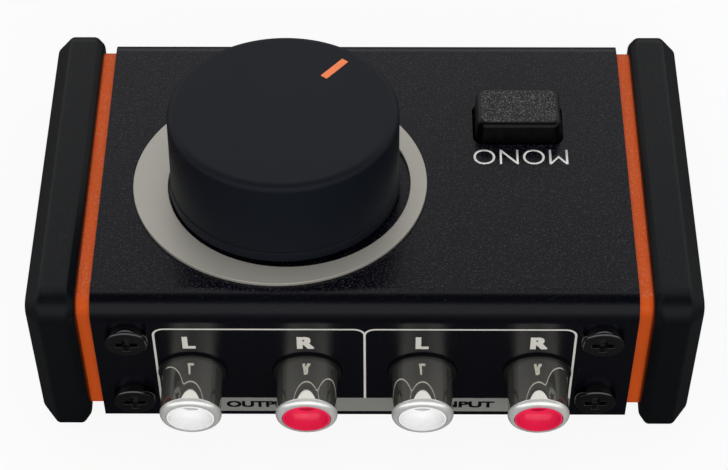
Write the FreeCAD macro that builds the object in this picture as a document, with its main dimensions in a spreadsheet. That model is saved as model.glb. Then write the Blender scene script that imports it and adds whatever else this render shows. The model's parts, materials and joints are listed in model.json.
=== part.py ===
"""Passive desktop monitor controller: a knob, a mono button and four phono sockets.

Millimetres. +Z is up, +Y points out of the rear panel and +X is the knob's side. The origin lies under the
middle of the unit, on the surface that it stands on. The top slopes down to the front. A piece on it is
built upright about its own axis, with its heights measured from the cover's outer face, and is then leaned
with the top.
"""
import FreeCAD, Part
import os
import re
import Sketcher
from FreeCAD import Vector

SIZES = {
    # housing
    "cover_depth": 53.1,
    "rear_height": 27.8,
    "top_slope": 13,
    "sheet_thick": 1.2,
    "bend_radius": 3,
    "plate_thick": 1,
    "panel_thick": 1.85,
    "panel_inset": 1,
    "panel_raise": 1.7,
    "cheek_thick": 6.65,
    "cheek_overhang": 1.2,
    "cheek_corner": 3.5,
    "cheek_foot_corner": 0.8,
    "cheek_bevel": 2,
    "cheek_inner_bevel": 1.1,
    # gaps: pieces pressed together, threads, screws in plain holes, turning and sliding pieces
    "fit_gap": 0.02,
    "thread_gap": 0.05,
    "hole_gap": 0.1,
    "running_gap": 0.05,
    "board_gap": 0.2,
    # screws and the lugs that take them
    "screw_radius": 1.5,
    "screw_length": 7,
    "tap_room": 1,
    "pan_radius": 2.85,
    "pan_height": 1.35,
    "pan_round": 0.4,
    "wafer_height": 0.8,
    "wafer_round": 0.3,
    "recess_width": 1,
    "recess_span": 3.3,
    "recess_depth": 1,
    "screw_side": 4.5,
    "screw_drop": 7.2,
    "lug_width": 7.6,
    "lug_size": 6.4,
    "lug_depth": 8.5,
    "lug_gap": 0.55,
    "lug_lift": 1.2,
    "foot_lug_height": 8,
    "foot_lug_rear": 13.5,
    "foot_lug_front": 5.7,
    "cheek_screw_grip": 3.6,
    "cheek_screw_front": 15,
    "cheek_screw_rear": 24,
    "cheek_screw_height": 9.5,
    # phono sockets
    "socket_pitch": 15.5,
    "socket_protrusion": 7.4,
    "shell_radius": 4.15,
    "shell_wall": 0.85,
    "shell_neck": 3.95,
    "shell_embed": 4,
    "rim_width": 0.75,
    "rim_depth": 0.55,
    "tag_inset": 2.5,
    "dish_rim": 0.28,
    "dish_depth": 1.4,
    "mouth_radius": 1.7,
    "mouth_depth": 3.5,
    "contact_bore": 1.65,
    "contact_wall": 0.3,
    "contact_length": 7.1,
    "contact_inset": 5.4,
    "collar_radius": 4.6,
    "collar_protrusion": 0.35,
    "collar_gap": 0.12,
    "block_width": 9.2,
    "block_depth": 10,
    "block_height": 10.6,
    "pin_radius": 0.4,
    "pin_tail": 0.8,
    # boards
    "board_thick": 1.6,
    "board_width": 55,
    "board_depth": 26,
    "standoff_height": 3.8,
    "standoff_radius": 2.4,
    "standoff_side": 24.6,
    "standoff_rear": 14.2,
    "standoff_front": 24.5,
    "board_screw_radius": 1.25,
    "board_screw_length": 4,
    "board_screw_head": 2.2,
    "board_screw_height": 1.2,
    "board_screw_round": 0.4,
    "panel_board_left": 26.5,
    "panel_board_right": 21,
    "panel_board_rear": 15.5,
    "panel_board_depth": 28.5,
    "board_room": 3.5,
    "header_pitch": 2.54,
    "header_side": 16.5,
    "header_rear": 19.9,
    "header_height": 1.8,
    "header_width": 2.5,
    "resistor_side": 3.5,
    "resistor_rear": 14.8,
    "resistor_pitch": 2.6,
    "resistor_radius": 0.9,
    "resistor_length": 6.3,
    "resistor_reach": 1.5,
    "lead_radius": 0.3,
    # knob
    "knob_side": 10.9,
    "knob_rear": 23.4,
    "knob_radius": 15.5,
    "knob_height": 14,
    "knob_lift": 0.9,
    "knob_wall": 1.8,
    "knob_top": 1.9,
    "knob_round": 1.1,
    "skirt_radius": 16,
    "skirt_height": 1.5,
    "skirt_round": 0.3,
    "boss_wall": 1.6,
    "hub_radius": 4.6,
    "hub_lift": 0.4,
    "pointer_angle": 39,
    "pointer_inner": 8.4,
    "pointer_outer": 13,
    "pointer_width": 1.1,
    "pointer_depth": 0.5,
    "pointer_proud": 0.05,
    # trim ring
    "ring_side": 11.6,
    "ring_rear": 24.05,
    "ring_radius": 20,
    "ring_width": 3.5,
    "ring_bore_side": 10.35,
    "ring_bore_rear": 23.75,
    "ring_thick": 0.5,
    # potentiometer
    "shaft_radius": 3,
    "shaft_flat": 1.5,
    "shaft_top": 11.1,
    "bushing_radius": 3.5,
    "bushing_top": 5.2,
    "bushing_flange": 1.2,
    "washer_radius": 6,
    "washer_thick": 0.5,
    "nut_flats": 10,
    "nut_thick": 2,
    "pot_radius": 8.2,
    "pot_wall": 0.8,
    "track_thick": 1,
    "track_bore": 4,
    "wiper_radius": 6.6,
    "wiper_lift": 1,
    "wiper_thick": 1.6,
    "wiper_collar": 4.4,
    "brush_side": 5.4,
    "terminal_radius": 0.5,
    "terminal_pitch": 5,
    "terminal_row": 2.5,
    # mono button and its switch
    "button_side": 21.2,
    "button_rear": 36.35,
    "press_travel": 1.8,
    "cap_width": 12.2,
    "cap_depth": 8.2,
    "cap_height": 3.35,
    "cap_corner": 1.4,
    "cap_bevel": 1,
    "cap_bevel_drop": 0.4,
    "cap_gap": 0.2,
    "lip_width": 0.6,
    "lip_thick": 0.9,
    "lip_gap": 0.15,
    "switch_side": 7,
    "stop_gap": 1.15,
    "switch_floor": 0.8,
    "switch_roof": 1.2,
    "plunger_side": 3,
    "plunger_foot": 3.8,
    "plunger_foot_thick": 1.2,
    "plunger_grip": 1.6,
    "plunger_gap": 0.1,
    "spring_radius": 1,
    "spring_wire": 0.15,
    "spring_turns": 3,
    "switch_pin_side": 2.5,
    "switch_pin_pitch": 2,
}

# Places and lengths that follow from the sizes. Names in _y and _z are places in the unit's own frame, and
# names in _h are heights above the cover's outer face.
DERIVED = {
    "half_width": "1.5 * socket_pitch + block_width / 2 + lug_gap + lug_width",
    "rear_y": "(cover_depth + cheek_overhang - socket_protrusion) / 2",
    "front_y": "rear_y - cover_depth",
    "base_z": "cheek_overhang",
    "corner_z": "base_z + rear_height",
    "plate_top_z": "base_z + plate_thick",
    "roof_fall": "sheet_thick * tan(top_slope) + sheet_thick / cos(top_slope)",
    "roof_rise": "sheet_thick * tan(top_slope) - sheet_thick / cos(top_slope)",
    "front_height": "rear_height - cover_depth * tan(top_slope)",
    "panel_depth": "cover_depth - 2 * panel_inset",
    "panel_drop": "panel_inset * tan(top_slope) + panel_inset / cos(top_slope)",
    "panel_rear_height": "rear_height - panel_raise - panel_drop",
    "panel_front_height": "panel_rear_height - panel_depth * tan(top_slope)",
    "cheek_seat": "half_width + panel_thick",
    "cheek_depth": "cover_depth + 2 * cheek_overhang",
    "cheek_rear_height": "corner_z + cheek_overhang * tan(top_slope) + cheek_overhang / cos(top_slope)",
    "cheek_front_height": "cheek_rear_height - cheek_depth * tan(top_slope)",
    "lug_side": "half_width - lug_width",
    "lug_rear_y": "rear_y - sheet_thick",
    "low_screw_z": "plate_top_z + lug_lift + lug_size / 2",
    "high_screw_z": "corner_z - screw_drop",
    "foot_rear_y": "rear_y - foot_lug_rear",
    "foot_front_y": "front_y + foot_lug_front",
    "screw_hole": "screw_radius + hole_gap",
    "screw_tap": "screw_radius + thread_gap",
    "board_low_z": "plate_top_z + standoff_height",
    "board_top_z": "board_low_z + board_thick",
    "board_rear_y": "rear_y - sheet_thick - board_gap",
    "socket_z": "board_top_z + block_height / 2",
    "tag_y": "rear_y - tag_inset",
    "contact_y": "rear_y - contact_inset",
    "header_y": "rear_y - header_rear",
    "header_fall": "header_rear * tan(top_slope)",
    "shell_bore": "shell_radius - shell_wall",
    "insulator_radius": "shell_bore - fit_gap",
    "contact_radius": "contact_bore + contact_wall",
    "contact_mouth": "socket_protrusion - mouth_depth",
    "pin_hole": "pin_radius + hole_gap",
    "flange_low_h": "-sheet_thick - bushing_flange",
    "panel_board_low_h": "(board_top_z + board_room - corner_z + header_fall) * cos(top_slope)",
    "pot_low_h": "panel_board_low_h + board_thick",
    "pot_floor_h": "pot_low_h + pot_wall",
    "track_top_h": "pot_floor_h + track_thick",
    "wiper_low_h": "track_top_h + wiper_lift",
    "hub_low_h": "bushing_top + hub_lift",
    "ring_bore": "ring_radius - ring_width",
    "knob_inner_h": "knob_height - knob_top",
    "lip_top_h": "-sheet_thick - lip_gap",
    "cap_low_h": "lip_top_h - lip_thick",
    "switch_top_h": "cap_low_h - press_travel - stop_gap",
    "well_low_h": "pot_low_h + switch_floor",
    "well_top_h": "switch_top_h - switch_roof",
    "plunger_low_h": "well_top_h - plunger_gap - plunger_foot_thick",
    "plunger_top_h": "cap_low_h + plunger_grip",
}

SOCKETS = ("output_left", "output_right", "input_left", "input_right")
SIDES = {"right": 1, "left": -1}
HEADER_PINS = range(6)
RESISTORS = range(4)

doc = FreeCAD.newDocument("monitor_controller")
sheet = doc.addObject("Spreadsheet::Sheet", "sheet")
for row, (alias, value) in enumerate(SIZES.items(), start=1):
    sheet.set(f"A{row}", alias.replace("_", " "))
    sheet.set(f"B{row}", str(value))
    sheet.setAlias(f"B{row}", alias)
doc.recompute()


# ------------------------------------------------------------------ formulas and places
def bind(formula):
    """Turn a formula in size names into one in the sheet's cells."""
    def swap(match):
        word = match.group(0)
        if word in DERIVED:
            return f"({bind(DERIVED[word])})"
        return f"sheet.{word}" if word in SIZES else word
    return re.sub(r"[a-z][a-z0-9_]*", swap, str(formula))


def number(formula):
    """The present value of a formula."""
    return float(sheet.evalExpression(bind(formula)))


def neg(formula):
    return f"-({formula})"


def outward(side, near, far):
    """The span from near to far from the middle plane, on the side given by 1 or -1."""
    return (near, far) if side > 0 else (neg(far), neg(near))


def drive(item, **formulas):
    """Bind properties of an object to formulas."""
    for name, formula in formulas.items():
        item.setExpression(name, bind(formula))
    return item


def vector(x, y, z):
    return f"vector({bind(x)}; {bind(y)}; {bind(z)})"


def rotation(axis, angle):
    return "rotation(vector({}; {}; {}); {})".format(*axis, bind(angle))


UPRIGHT = rotation((0, 0, 1), 0)
TO_X = rotation((0, 1, 0), 90)
TO_MINUS_X = rotation((0, 1, 0), -90)
TO_Y = rotation((1, 0, 0), -90)
DOWN = rotation((1, 0, 0), 180)


def place(item, x="0", y="0", z="0", turn=UPRIGHT):
    """Put an object at a point, turned from its own Z axis."""
    item.setExpression("Placement", f"placement({vector(x, y, z)}; {turn})")
    return item


def lean(item, side, back, spin="0"):
    """Stand an object on the sloping top, back being its distance down the slope from the rear corner."""
    y = f"rear_y - ({back}) * cos(top_slope)"
    z = f"corner_z - ({back}) * sin(top_slope)"
    turn = f"{rotation((1, 0, 0), 'top_slope')} * {rotation((0, 0, 1), spin)}"
    return place(item, side, y, z, turn)


# ------------------------------------------------------------------ simple solids and booleans
def box(name, x, y, z):
    """A block given by a (low, high) pair of formulas along each axis."""
    block = doc.addObject("Part::Box", name)
    drive(block, Length=f"({x[1]}) - ({x[0]})", Width=f"({y[1]}) - ({y[0]})", Height=f"({z[1]}) - ({z[0]})")
    return place(block, x[0], y[0], z[0])


def rod(name, radius, low, high, x="0", y="0", z="0", turn=UPRIGHT):
    """A round bar between two places along Z, or along X or Y with TO_X or TO_Y."""
    bar = doc.addObject("Part::Cylinder", name)
    drive(bar, Radius=radius, Height=f"({high}) - ({low})")
    start = {UPRIGHT: (x, y, low), TO_X: (low, y, z), TO_Y: (x, low, z)}[turn]
    return place(bar, *start, turn=turn)


def group(name, pieces):
    """Separate solids under one name."""
    bundle = doc.addObject("Part::Compound", name)
    bundle.Links = pieces
    return bundle


def fuse(name, pieces):
    joined = doc.addObject("Part::MultiFuse", name)
    joined.Shapes = pieces
    return joined


def cut(name, base, tools):
    """Take tools, which don't overlap one another, out of a base."""
    result = doc.addObject("Part::Cut", name)
    result.Base = base
    result.Tool = tools[0] if len(tools) == 1 else group(f"{name}_tools", tools)
    return result


# ------------------------------------------------------------------ bodies from sketches
def sketch(body, name, role, corners):
    """A closed outline of straight lines on one of the body's origin planes."""
    outline = body.newObject("Sketcher::SketchObject", name)
    plane = next(item for item in body.Origin.OriginFeatures if item.Role == role)
    outline.AttachmentSupport = [(plane, "")]
    outline.MapMode = "FlatFace"
    points = [Vector(number(across), number(up), 0) for across, up in corners]
    for index, point in enumerate(points):
        outline.addGeometry(Part.LineSegment(point, points[(index + 1) % len(points)]))
    for index in range(len(points)):
        outline.addConstraint(Sketcher.Constraint("Coincident", index, 2, (index + 1) % len(points), 1))
    for index, corner in enumerate(corners):
        for kind, formula, axis in zip(("DistanceX", "DistanceY"), corner, (-2, -1)):
            if formula == "0":
                outline.addConstraint(Sketcher.Constraint("PointOnObject", index, 1, axis))
                continue
            made = outline.addConstraint(Sketcher.Constraint(kind, -1, 1, index, 1, number(formula)))
            outline.setExpression(f"Constraints[{made}]", bind(formula))
    return outline


def padded(name, role, corners, length, start="0", midplane=False):
    """A body padded from a straight-sided outline, start above its plane."""
    body = doc.addObject("PartDesign::Body", name)
    outline = sketch(body, f"{name}_outline", role, corners)
    drive(outline, **{"AttachmentOffset.Base.z": start})
    pad = body.newObject("PartDesign::Pad", f"{name}_pad")
    pad.Profile = outline
    pad.Midplane = midplane
    drive(pad, Length=length)
    return body


def turned(name, corners):
    """A body turned about its Z axis from (radius, height) corners."""
    body = doc.addObject("PartDesign::Body", name)
    outline = sketch(body, f"{name}_outline", "XZ_Plane", corners)
    spin = body.newObject("PartDesign::Revolution", f"{name}_turn")
    spin.Profile = outline
    spin.ReferenceAxis = (outline, ["V_Axis"])
    spin.Angle = 360
    return body


def dress(body, kind, name, wanted, size, across=None):
    """Fillet or chamfer the edges of the body's last feature that are wanted."""
    doc.recompute()
    last = body.Tip
    edges = [f"Edge{index}" for index, edge in enumerate(last.Shape.Edges, start=1) if wanted(edge)]
    feature = body.newObject(f"PartDesign::{kind}", name)
    feature.Base = (last, edges)
    drive(feature, **{"Radius" if kind == "Fillet" else "Size": size})
    if across:
        feature.ChamferType = "Two distances"
        drive(feature, Size2=across)
    return body


def along(direction):
    """Test for straight edges in a direction."""
    def test(edge):
        line = edge.Curve.TypeId == "Part::GeomLine"
        return line and abs(edge.Curve.Direction.dot(Vector(*direction))) > 0.999
    return test


crosswise = along((1, 0, 0))


def level(axis, formula):
    """Test for edges that lie in the plane at this place on the axis."""
    where = number(formula)

    def test(edge):
        bounds = edge.BoundBox
        ends = getattr(bounds, f"{axis}Min"), getattr(bounds, f"{axis}Max")
        return all(abs(end - where) < 1e-4 for end in ends)
    return test


def rim(formula, radius):
    """Test for the circle of this radius at this height."""
    at_height = level("Z", formula)
    size = number(radius)

    def test(edge):
        circle = edge.Curve.TypeId == "Part::GeomCircle"
        return circle and at_height(edge) and abs(edge.Curve.Radius - size) < 1e-4
    return test


def rectangle(width, depth):
    """Corners of a rectangle about the origin."""
    half_x, half_y = f"({width}) / 2", f"({depth}) / 2"
    return [(neg(half_x), neg(half_y)), (half_x, neg(half_y)), (half_x, half_y), (neg(half_x), half_y)]


def rounded_block(name, width, depth, low, high, corner):
    """A block about its own axis with rounded upright edges."""
    body = padded(name, "XY_Plane", rectangle(width, depth), f"({high}) - ({low})", start=low)
    return dress(body, "Fillet", f"{name}_corners", along((0, 0, 1)), corner)


def square_bar(name, side, low, high):
    """A square bar along its own axis."""
    half = f"({side}) / 2"
    return box(name, (neg(half), half), (neg(half), half), (low, high))


# ------------------------------------------------------------------ places that pieces share
REAR_SCREWS = {f"{side}_{end}": (f"{sign} * (half_width - screw_side)", z)
               for side, sign in SIDES.items()
               for end, z in (("low", "low_screw_z"), ("high", "high_screw_z"))}
FOOT_SCREWS = {f"{side}_{end}": (f"{sign} * (half_width - screw_side)", y)
               for side, sign in SIDES.items()
               for end, y in (("rear", "foot_rear_y"), ("front", "foot_front_y"))}
CHEEK_SCREWS = {"front": "front_y + cheek_screw_front", "rear": "rear_y - cheek_screw_rear"}
CHEEK_SCREW_Z = "base_z + cheek_screw_height"
STANDOFFS = [(f"{sign} * standoff_side", f"rear_y - {inset}")
             for sign in SIDES.values() for inset in ("standoff_rear", "standoff_front")]
HEADER_X = [f"({index} - {(len(HEADER_PINS) - 1) / 2}) * header_pitch - header_side" for index in HEADER_PINS]
RESISTOR_Y = [f"rear_y - resistor_rear - {index} * resistor_pitch" for index in RESISTORS]
RESISTOR_ENDS = [f"-resistor_side {sign} (resistor_length / 2 + resistor_reach)" for sign in "-+"]
TERMINALS = [(f"{across} * terminal_pitch", f"{up} * terminal_row") for across in (-1, 0, 1) for up in (-1, 1)]
SWITCH_PINS = [(f"{across} * switch_pin_side", f"{up} * switch_pin_pitch")
               for across in (-1, 1) for up in (-1, 0, 1)]


def socket_x(name):
    return f"{(len(SOCKETS) - 1) / 2 - SOCKETS.index(name)} * socket_pitch"


# ------------------------------------------------------------------ housing
def make_top_cover():
    """Front, sloping top and rear, bent from one sheet."""
    rear, front = "rear_height", "front_height"
    inner_rear, inner_front = "rear_height - roof_fall", "front_height + roof_rise"
    body = padded("cover_blank", "YZ_Plane", [
        ("0", "plate_thick"), ("0", rear), ("-cover_depth", front), ("-cover_depth", "plate_thick"),
        ("sheet_thick - cover_depth", "plate_thick"), ("sheet_thick - cover_depth", inner_front),
        ("-sheet_thick", inner_rear), ("-sheet_thick", "plate_thick"),
    ], "2 * half_width", midplane=True)
    for name, heights, radius in (("outer_bends", (rear, front), "bend_radius"),
                                  ("inner_bends", (inner_rear, inner_front), "bend_radius - sheet_thick")):
        tests = [level("Z", height) for height in heights]
        dress(body, "Fillet", name,
              lambda edge: crosswise(edge) and any(test(edge) for test in tests), radius)
    place(body, "0", "rear_y", "base_z")
    through = ("rear_y - 2 * sheet_thick", "rear_y + sheet_thick")
    tools = [rod(f"{name}_opening", "collar_radius + collar_gap", *through, x=socket_x(name), z="socket_z",
                 turn=TO_Y) for name in SOCKETS]
    tools += [rod(f"rear_hole_{name}", "screw_hole", *through, x=x, z=z, turn=TO_Y)
              for name, (x, z) in REAR_SCREWS.items()]
    bushing = rod("bushing_hole", "bushing_radius + hole_gap", "-2 * sheet_thick", "sheet_thick")
    tools.append(lean(group("bushing_opening", [bushing]), "knob_side", "knob_rear"))
    window = rounded_block("cap_opening", "cap_width + 2 * cap_gap", "cap_depth + 2 * cap_gap",
                           "-2 * sheet_thick", "sheet_thick", "cap_corner + cap_gap")
    tools.append(lean(window, "-button_side", "button_rear"))
    return cut("top_cover", body, tools)


def make_bottom_plate():
    blank = box("plate_blank", ("-half_width", "half_width"), ("front_y", "rear_y"), ("base_z", "plate_top_z"))
    holes = [rod(f"foot_hole_{name}", "screw_hole", "base_z - 1", "plate_top_z + 1", x=x, y=y)
             for name, (x, y) in FOOT_SCREWS.items()]
    return cut("bottom_plate", blank, holes)


def make_end_panel(name, side):
    """The plate that closes one end, with lugs inside for the rear and bottom screws."""
    corners = [("0", "0"), ("0", "panel_rear_height"), ("-panel_depth", "panel_front_height"),
               ("-panel_depth", "0")]
    plate = padded(f"{name}_plate", "YZ_Plane", corners, "panel_thick")
    upper = [level("Z", height) for height in ("panel_rear_height", "panel_front_height")]
    dress(plate, "Fillet", f"{name}_corners",
          lambda edge: crosswise(edge) and any(test(edge) for test in upper), "bend_radius - panel_inset")
    place(plate, outward(side, "half_width", "cheek_seat")[0], "rear_y - panel_inset", "base_z + panel_raise")
    pieces, holes = [plate], []
    lug_x = outward(side, "lug_side", "half_width")
    screw_x = f"{side} * (half_width - screw_side)"
    half = "lug_size / 2"
    for end, z in (("low", "low_screw_z"), ("high", "high_screw_z")):
        pieces.append(box(f"{name}_{end}_lug", lug_x, ("lug_rear_y - lug_depth", "lug_rear_y"),
                          (f"{z} - {half}", f"{z} + {half}")))
        holes.append(rod(f"{name}_{end}_tap", "screw_tap", "rear_y - screw_length - tap_room", "rear_y",
                         x=screw_x, z=z, turn=TO_Y))
    for end, y in (("rear", "foot_rear_y"), ("front", "foot_front_y")):
        pieces.append(box(f"{name}_{end}_foot", lug_x, (f"{y} - {half}", f"{y} + {half}"),
                          ("plate_top_z", "plate_top_z + foot_lug_height")))
        holes.append(rod(f"{name}_{end}_foot_tap", "screw_tap", "base_z", "base_z + screw_length + tap_room",
                         x=screw_x, y=y))
    through = outward(side, "half_width - 1", "cheek_seat + 1")
    holes += [rod(f"{name}_{end}_hole", "screw_hole", *through, y=y, z=CHEEK_SCREW_Z, turn=TO_X)
              for end, y in CHEEK_SCREWS.items()]
    return cut(name, fuse(f"{name}_blank", pieces), holes)


def make_cheek(name, side):
    """A moulded cheek, proud of the cover all round, with a wide bevel on its outer rim."""
    corners = [("0", "0"), ("0", "cheek_rear_height"), ("-cheek_depth", "cheek_front_height"),
               ("-cheek_depth", "0")]
    body = padded(f"{name}_block", "YZ_Plane", corners, "cheek_thick")
    feet = level("Z", "0")
    dress(body, "Fillet", f"{name}_corners", lambda edge: crosswise(edge) and not feet(edge), "cheek_corner")
    outer, inner = ("cheek_thick", "0") if side > 0 else ("0", "cheek_thick")
    dress(body, "Chamfer", f"{name}_bevel", level("X", outer), "cheek_bevel")
    dress(body, "Chamfer", f"{name}_inner_bevel", level("X", inner), "cheek_inner_bevel")
    dress(body, "Fillet", f"{name}_feet", lambda edge: crosswise(edge) and feet(edge), "cheek_foot_corner")
    place(body, outward(side, "cheek_seat", "cheek_seat + cheek_thick")[0], "rear_y + cheek_overhang")
    reach = outward(side, "cheek_seat - 1", "cheek_seat + cheek_screw_grip + thread_gap")
    return cut(name, body, [rod(f"{name}_{end}_tap", "screw_tap", *reach, y=y, z=CHEEK_SCREW_Z, turn=TO_X)
                            for end, y in CHEEK_SCREWS.items()])


# ------------------------------------------------------------------ screws and pillars
def make_screw(name, shank, length, head, height, rounding, spot, turn=UPRIGHT):
    """A screw with a cross recess, its head's seat at the spot and its shank pointing the other way."""
    body = turned(f"{name}_blank", [("0", neg(length)), (shank, neg(length)), (shank, "0"), (head, "0"),
                                    (head, height), ("0", height)])
    dress(body, "Fillet", f"{name}_dome", rim(height, head), rounding)
    half_span, half_width = "recess_span / 2", "recess_width / 2"
    depth = (f"{height} - recess_depth", f"{height} + 1")
    bars = [box(f"{name}_recess_{index}", (neg(x), x), (neg(y), y), depth)
            for index, (x, y) in enumerate(((half_span, half_width), (half_width, half_span)))]
    return place(cut(name, body, [fuse(f"{name}_recess", bars)]), *spot, turn=turn)


def make_rear_screw(end):
    x, z = REAR_SCREWS[end]
    return make_screw(f"rear_screw_{end}", "screw_radius", "screw_length", "pan_radius", "pan_height",
                      "pan_round", (x, "rear_y", z), TO_Y)


def make_bottom_screw(end):
    x, y = FOOT_SCREWS[end]
    return make_screw(f"bottom_screw_{end}", "screw_radius", "screw_length", "pan_radius", "wafer_height",
                      "wafer_round", (x, y, "base_z"), DOWN)


def make_cheek_screw(side, end):
    """A screw from inside the box, through the end panel, into the cheek."""
    sign = SIDES[side]
    return make_screw(f"cheek_screw_{side}_{end}", "screw_radius", "panel_thick + cheek_screw_grip",
                      "pan_radius", "pan_height", "pan_round",
                      (f"{sign} * half_width", CHEEK_SCREWS[end], CHEEK_SCREW_Z),
                      TO_MINUS_X if sign > 0 else TO_X)


def make_standoffs():
    """Threaded pillars between the bottom plate and the main board."""
    pillars = []
    for index, (x, y) in enumerate(STANDOFFS):
        pillar = rod(f"pillar_{index}", "standoff_radius", "plate_top_z", "board_low_z", x=x, y=y)
        bore = rod(f"pillar_bore_{index}", "board_screw_radius + thread_gap", "plate_top_z - 1",
                   "board_low_z + 1", x=x, y=y)
        pillars.append(cut(f"standoff_{index}", pillar, [bore]))
    return group("board_standoffs", pillars)


def make_board_screws():
    return group("board_screws", [
        make_screw(f"board_screw_{index}", "board_screw_radius", "board_screw_length", "board_screw_head",
                   "board_screw_height", "board_screw_round", (x, y, "board_top_z"))
        for index, (x, y) in enumerate(STANDOFFS)])


# ------------------------------------------------------------------ boards
def make_main_board():
    """The board that carries the sockets, drilled for every pin and screw that passes it."""
    half = "board_width / 2"
    blank = box("main_blank", (neg(half), half), ("board_rear_y - board_depth", "board_rear_y"),
                ("board_low_z", "board_top_z"))
    spots = [("board_screw_radius + hole_gap", x, y) for x, y in STANDOFFS]
    spots += [("pin_hole", socket_x(name), y) for name in SOCKETS for y in ("tag_y", "contact_y")]
    spots += [("pin_hole", x, "header_y") for x in HEADER_X]
    spots += [("lead_radius + hole_gap", x, y) for x in RESISTOR_ENDS for y in RESISTOR_Y]
    holes = [rod(f"main_hole_{index}", radius, "board_low_z - 1", "board_top_z + 1", x=x, y=y)
             for index, (radius, x, y) in enumerate(spots)]
    return cut("main_board", blank, holes)


def make_panel_board():
    """The board that hangs from the potentiometer, parallel to the sloping top."""
    blank = box("panel_blank", ("-panel_board_left", "panel_board_right"), ("-panel_board_depth", "0"),
                ("panel_board_low_h", "pot_low_h"))
    spots = [("terminal_radius + hole_gap", f"knob_side + {x}", f"panel_board_rear - knob_rear + {y}")
             for x, y in TERMINALS]
    spots += [("pin_hole", f"{x} - button_side", f"panel_board_rear - button_rear + {y}")
              for x, y in SWITCH_PINS]
    holes = [rod(f"panel_hole_{index}", radius, "panel_board_low_h - 1", "pot_low_h + 1", x=x, y=y)
             for index, (radius, x, y) in enumerate(spots)]
    leaned = lean(cut("panel_drilled", blank, holes), "0", "panel_board_rear")
    upright = [rod(f"link_hole_{index}", "pin_hole", "board_top_z", "corner_z", x=x, y="header_y")
               for index, x in enumerate(HEADER_X)]
    return cut("control_board", leaned, upright)


def make_link_header():
    strip = box("header_strip", (f"{HEADER_X[0]} - header_pitch / 2", f"{HEADER_X[-1]} + header_pitch / 2"),
                ("header_y - header_width / 2", "header_y + header_width / 2"),
                ("board_top_z", "board_top_z + header_height"))
    return cut("link_header", strip, [
        rod(f"strip_hole_{index}", "pin_radius + fit_gap", "board_top_z - 1", "board_top_z + header_height + 1",
            x=x, y="header_y") for index, x in enumerate(HEADER_X)])


def make_link_pins():
    """Upright pins that join the two boards, long enough to stand out of both."""
    top = "corner_z - header_fall + pot_low_h / cos(top_slope) + pin_tail"
    return group("link_pins", [rod(f"link_pin_{index}", "pin_radius", "board_low_z - pin_tail", top, x=x,
                                   y="header_y") for index, x in enumerate(HEADER_X)])


def make_resistors():
    """Resistors that sum the two channels for mono."""
    resistors = []
    for index, y in enumerate(RESISTOR_Y):
        z = "board_top_z + resistor_radius"
        left, right = RESISTOR_ENDS
        barrel = rod(f"resistor_barrel_{index}", "resistor_radius", "-resistor_side - resistor_length / 2",
                     "-resistor_side + resistor_length / 2", y=y, z=z, turn=TO_X)
        wire = rod(f"resistor_wire_{index}", "lead_radius", left, right, y=y, z=z, turn=TO_X)
        legs = [rod(f"resistor_leg_{index}_{end}", "lead_radius", "board_low_z - pin_tail", z, x=x, y=y)
                for end, x in enumerate(RESISTOR_ENDS)]
        resistors.append(fuse(f"resistor_{index}", [barrel, wire] + legs))
    return group("summing_resistors", resistors)


# ------------------------------------------------------------------ phono sockets
def at_socket(item, name):
    """Put a piece turned about Z on a socket's axis, its zero height on the cover's rear face."""
    return place(item, socket_x(name), "rear_y", "socket_z", TO_Y)


def make_block(name):
    """The moulded block that holds one socket, its round collar reaching through the cover."""
    x = socket_x(name)
    half = "block_width / 2"
    body = box(f"{name}_body", (f"{x} - {half}", f"{x} + {half}"),
               ("lug_rear_y - block_depth", "lug_rear_y"), ("board_top_z", "board_top_z + block_height"))
    collar = rod(f"{name}_collar", "collar_radius", "lug_rear_y - 1", "rear_y + collar_protrusion",
                 x=x, z="socket_z", turn=TO_Y)
    bore = rod(f"{name}_bore", "shell_neck + fit_gap", "rear_y - shell_embed", "rear_y + 1",
               x=x, z="socket_z", turn=TO_Y)
    slot_x = (f"{x} - pin_hole", f"{x} + pin_hole")
    tag_slot = box(f"{name}_tag_slot", slot_x, ("tag_y - pin_hole", "tag_y + pin_hole"),
                   ("board_top_z - 1", "socket_z"))
    pin_slot = box(f"{name}_pin_slot", slot_x, ("contact_y - pin_hole", "rear_y"),
                   ("board_top_z - 1", "socket_z + pin_hole"))
    room = fuse(f"{name}_room", [bore, tag_slot, pin_slot])
    return cut(f"{name}_block", fuse(f"{name}_moulding", [body, collar]), [room])


def make_shell(name):
    """The metal shell, its neck in the block, its mouth bevelled, with the tag that grounds it."""
    back, front = "-shell_embed", "socket_protrusion"
    barrel = turned(f"{name}_barrel", [
        ("shell_bore", back), ("shell_neck", back), ("shell_neck", "collar_protrusion"),
        ("shell_radius", "collar_protrusion"), ("shell_radius", f"{front} - rim_depth"),
        ("shell_radius - rim_width", front), ("shell_bore", front)])
    tag_top = "socket_z - (shell_neck + shell_bore) / 2"
    tag = rod(f"{name}_tag", "pin_radius", "board_low_z - pin_tail", tag_top, x=socket_x(name), y="tag_y")
    return fuse(f"{name}_shell", [at_socket(barrel, name), tag])


def make_insulator(name):
    """The coloured insulator, dished at its mouth."""
    back, front = "-shell_embed", "socket_protrusion"
    seat = "contact_radius + fit_gap"
    return at_socket(turned(f"{name}_insulator", [
        (seat, back), ("insulator_radius", back), ("insulator_radius", front),
        ("insulator_radius - dish_rim", front), ("mouth_radius", f"{front} - dish_depth"),
        ("mouth_radius", "contact_mouth"), (seat, "contact_mouth")]), name)


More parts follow.
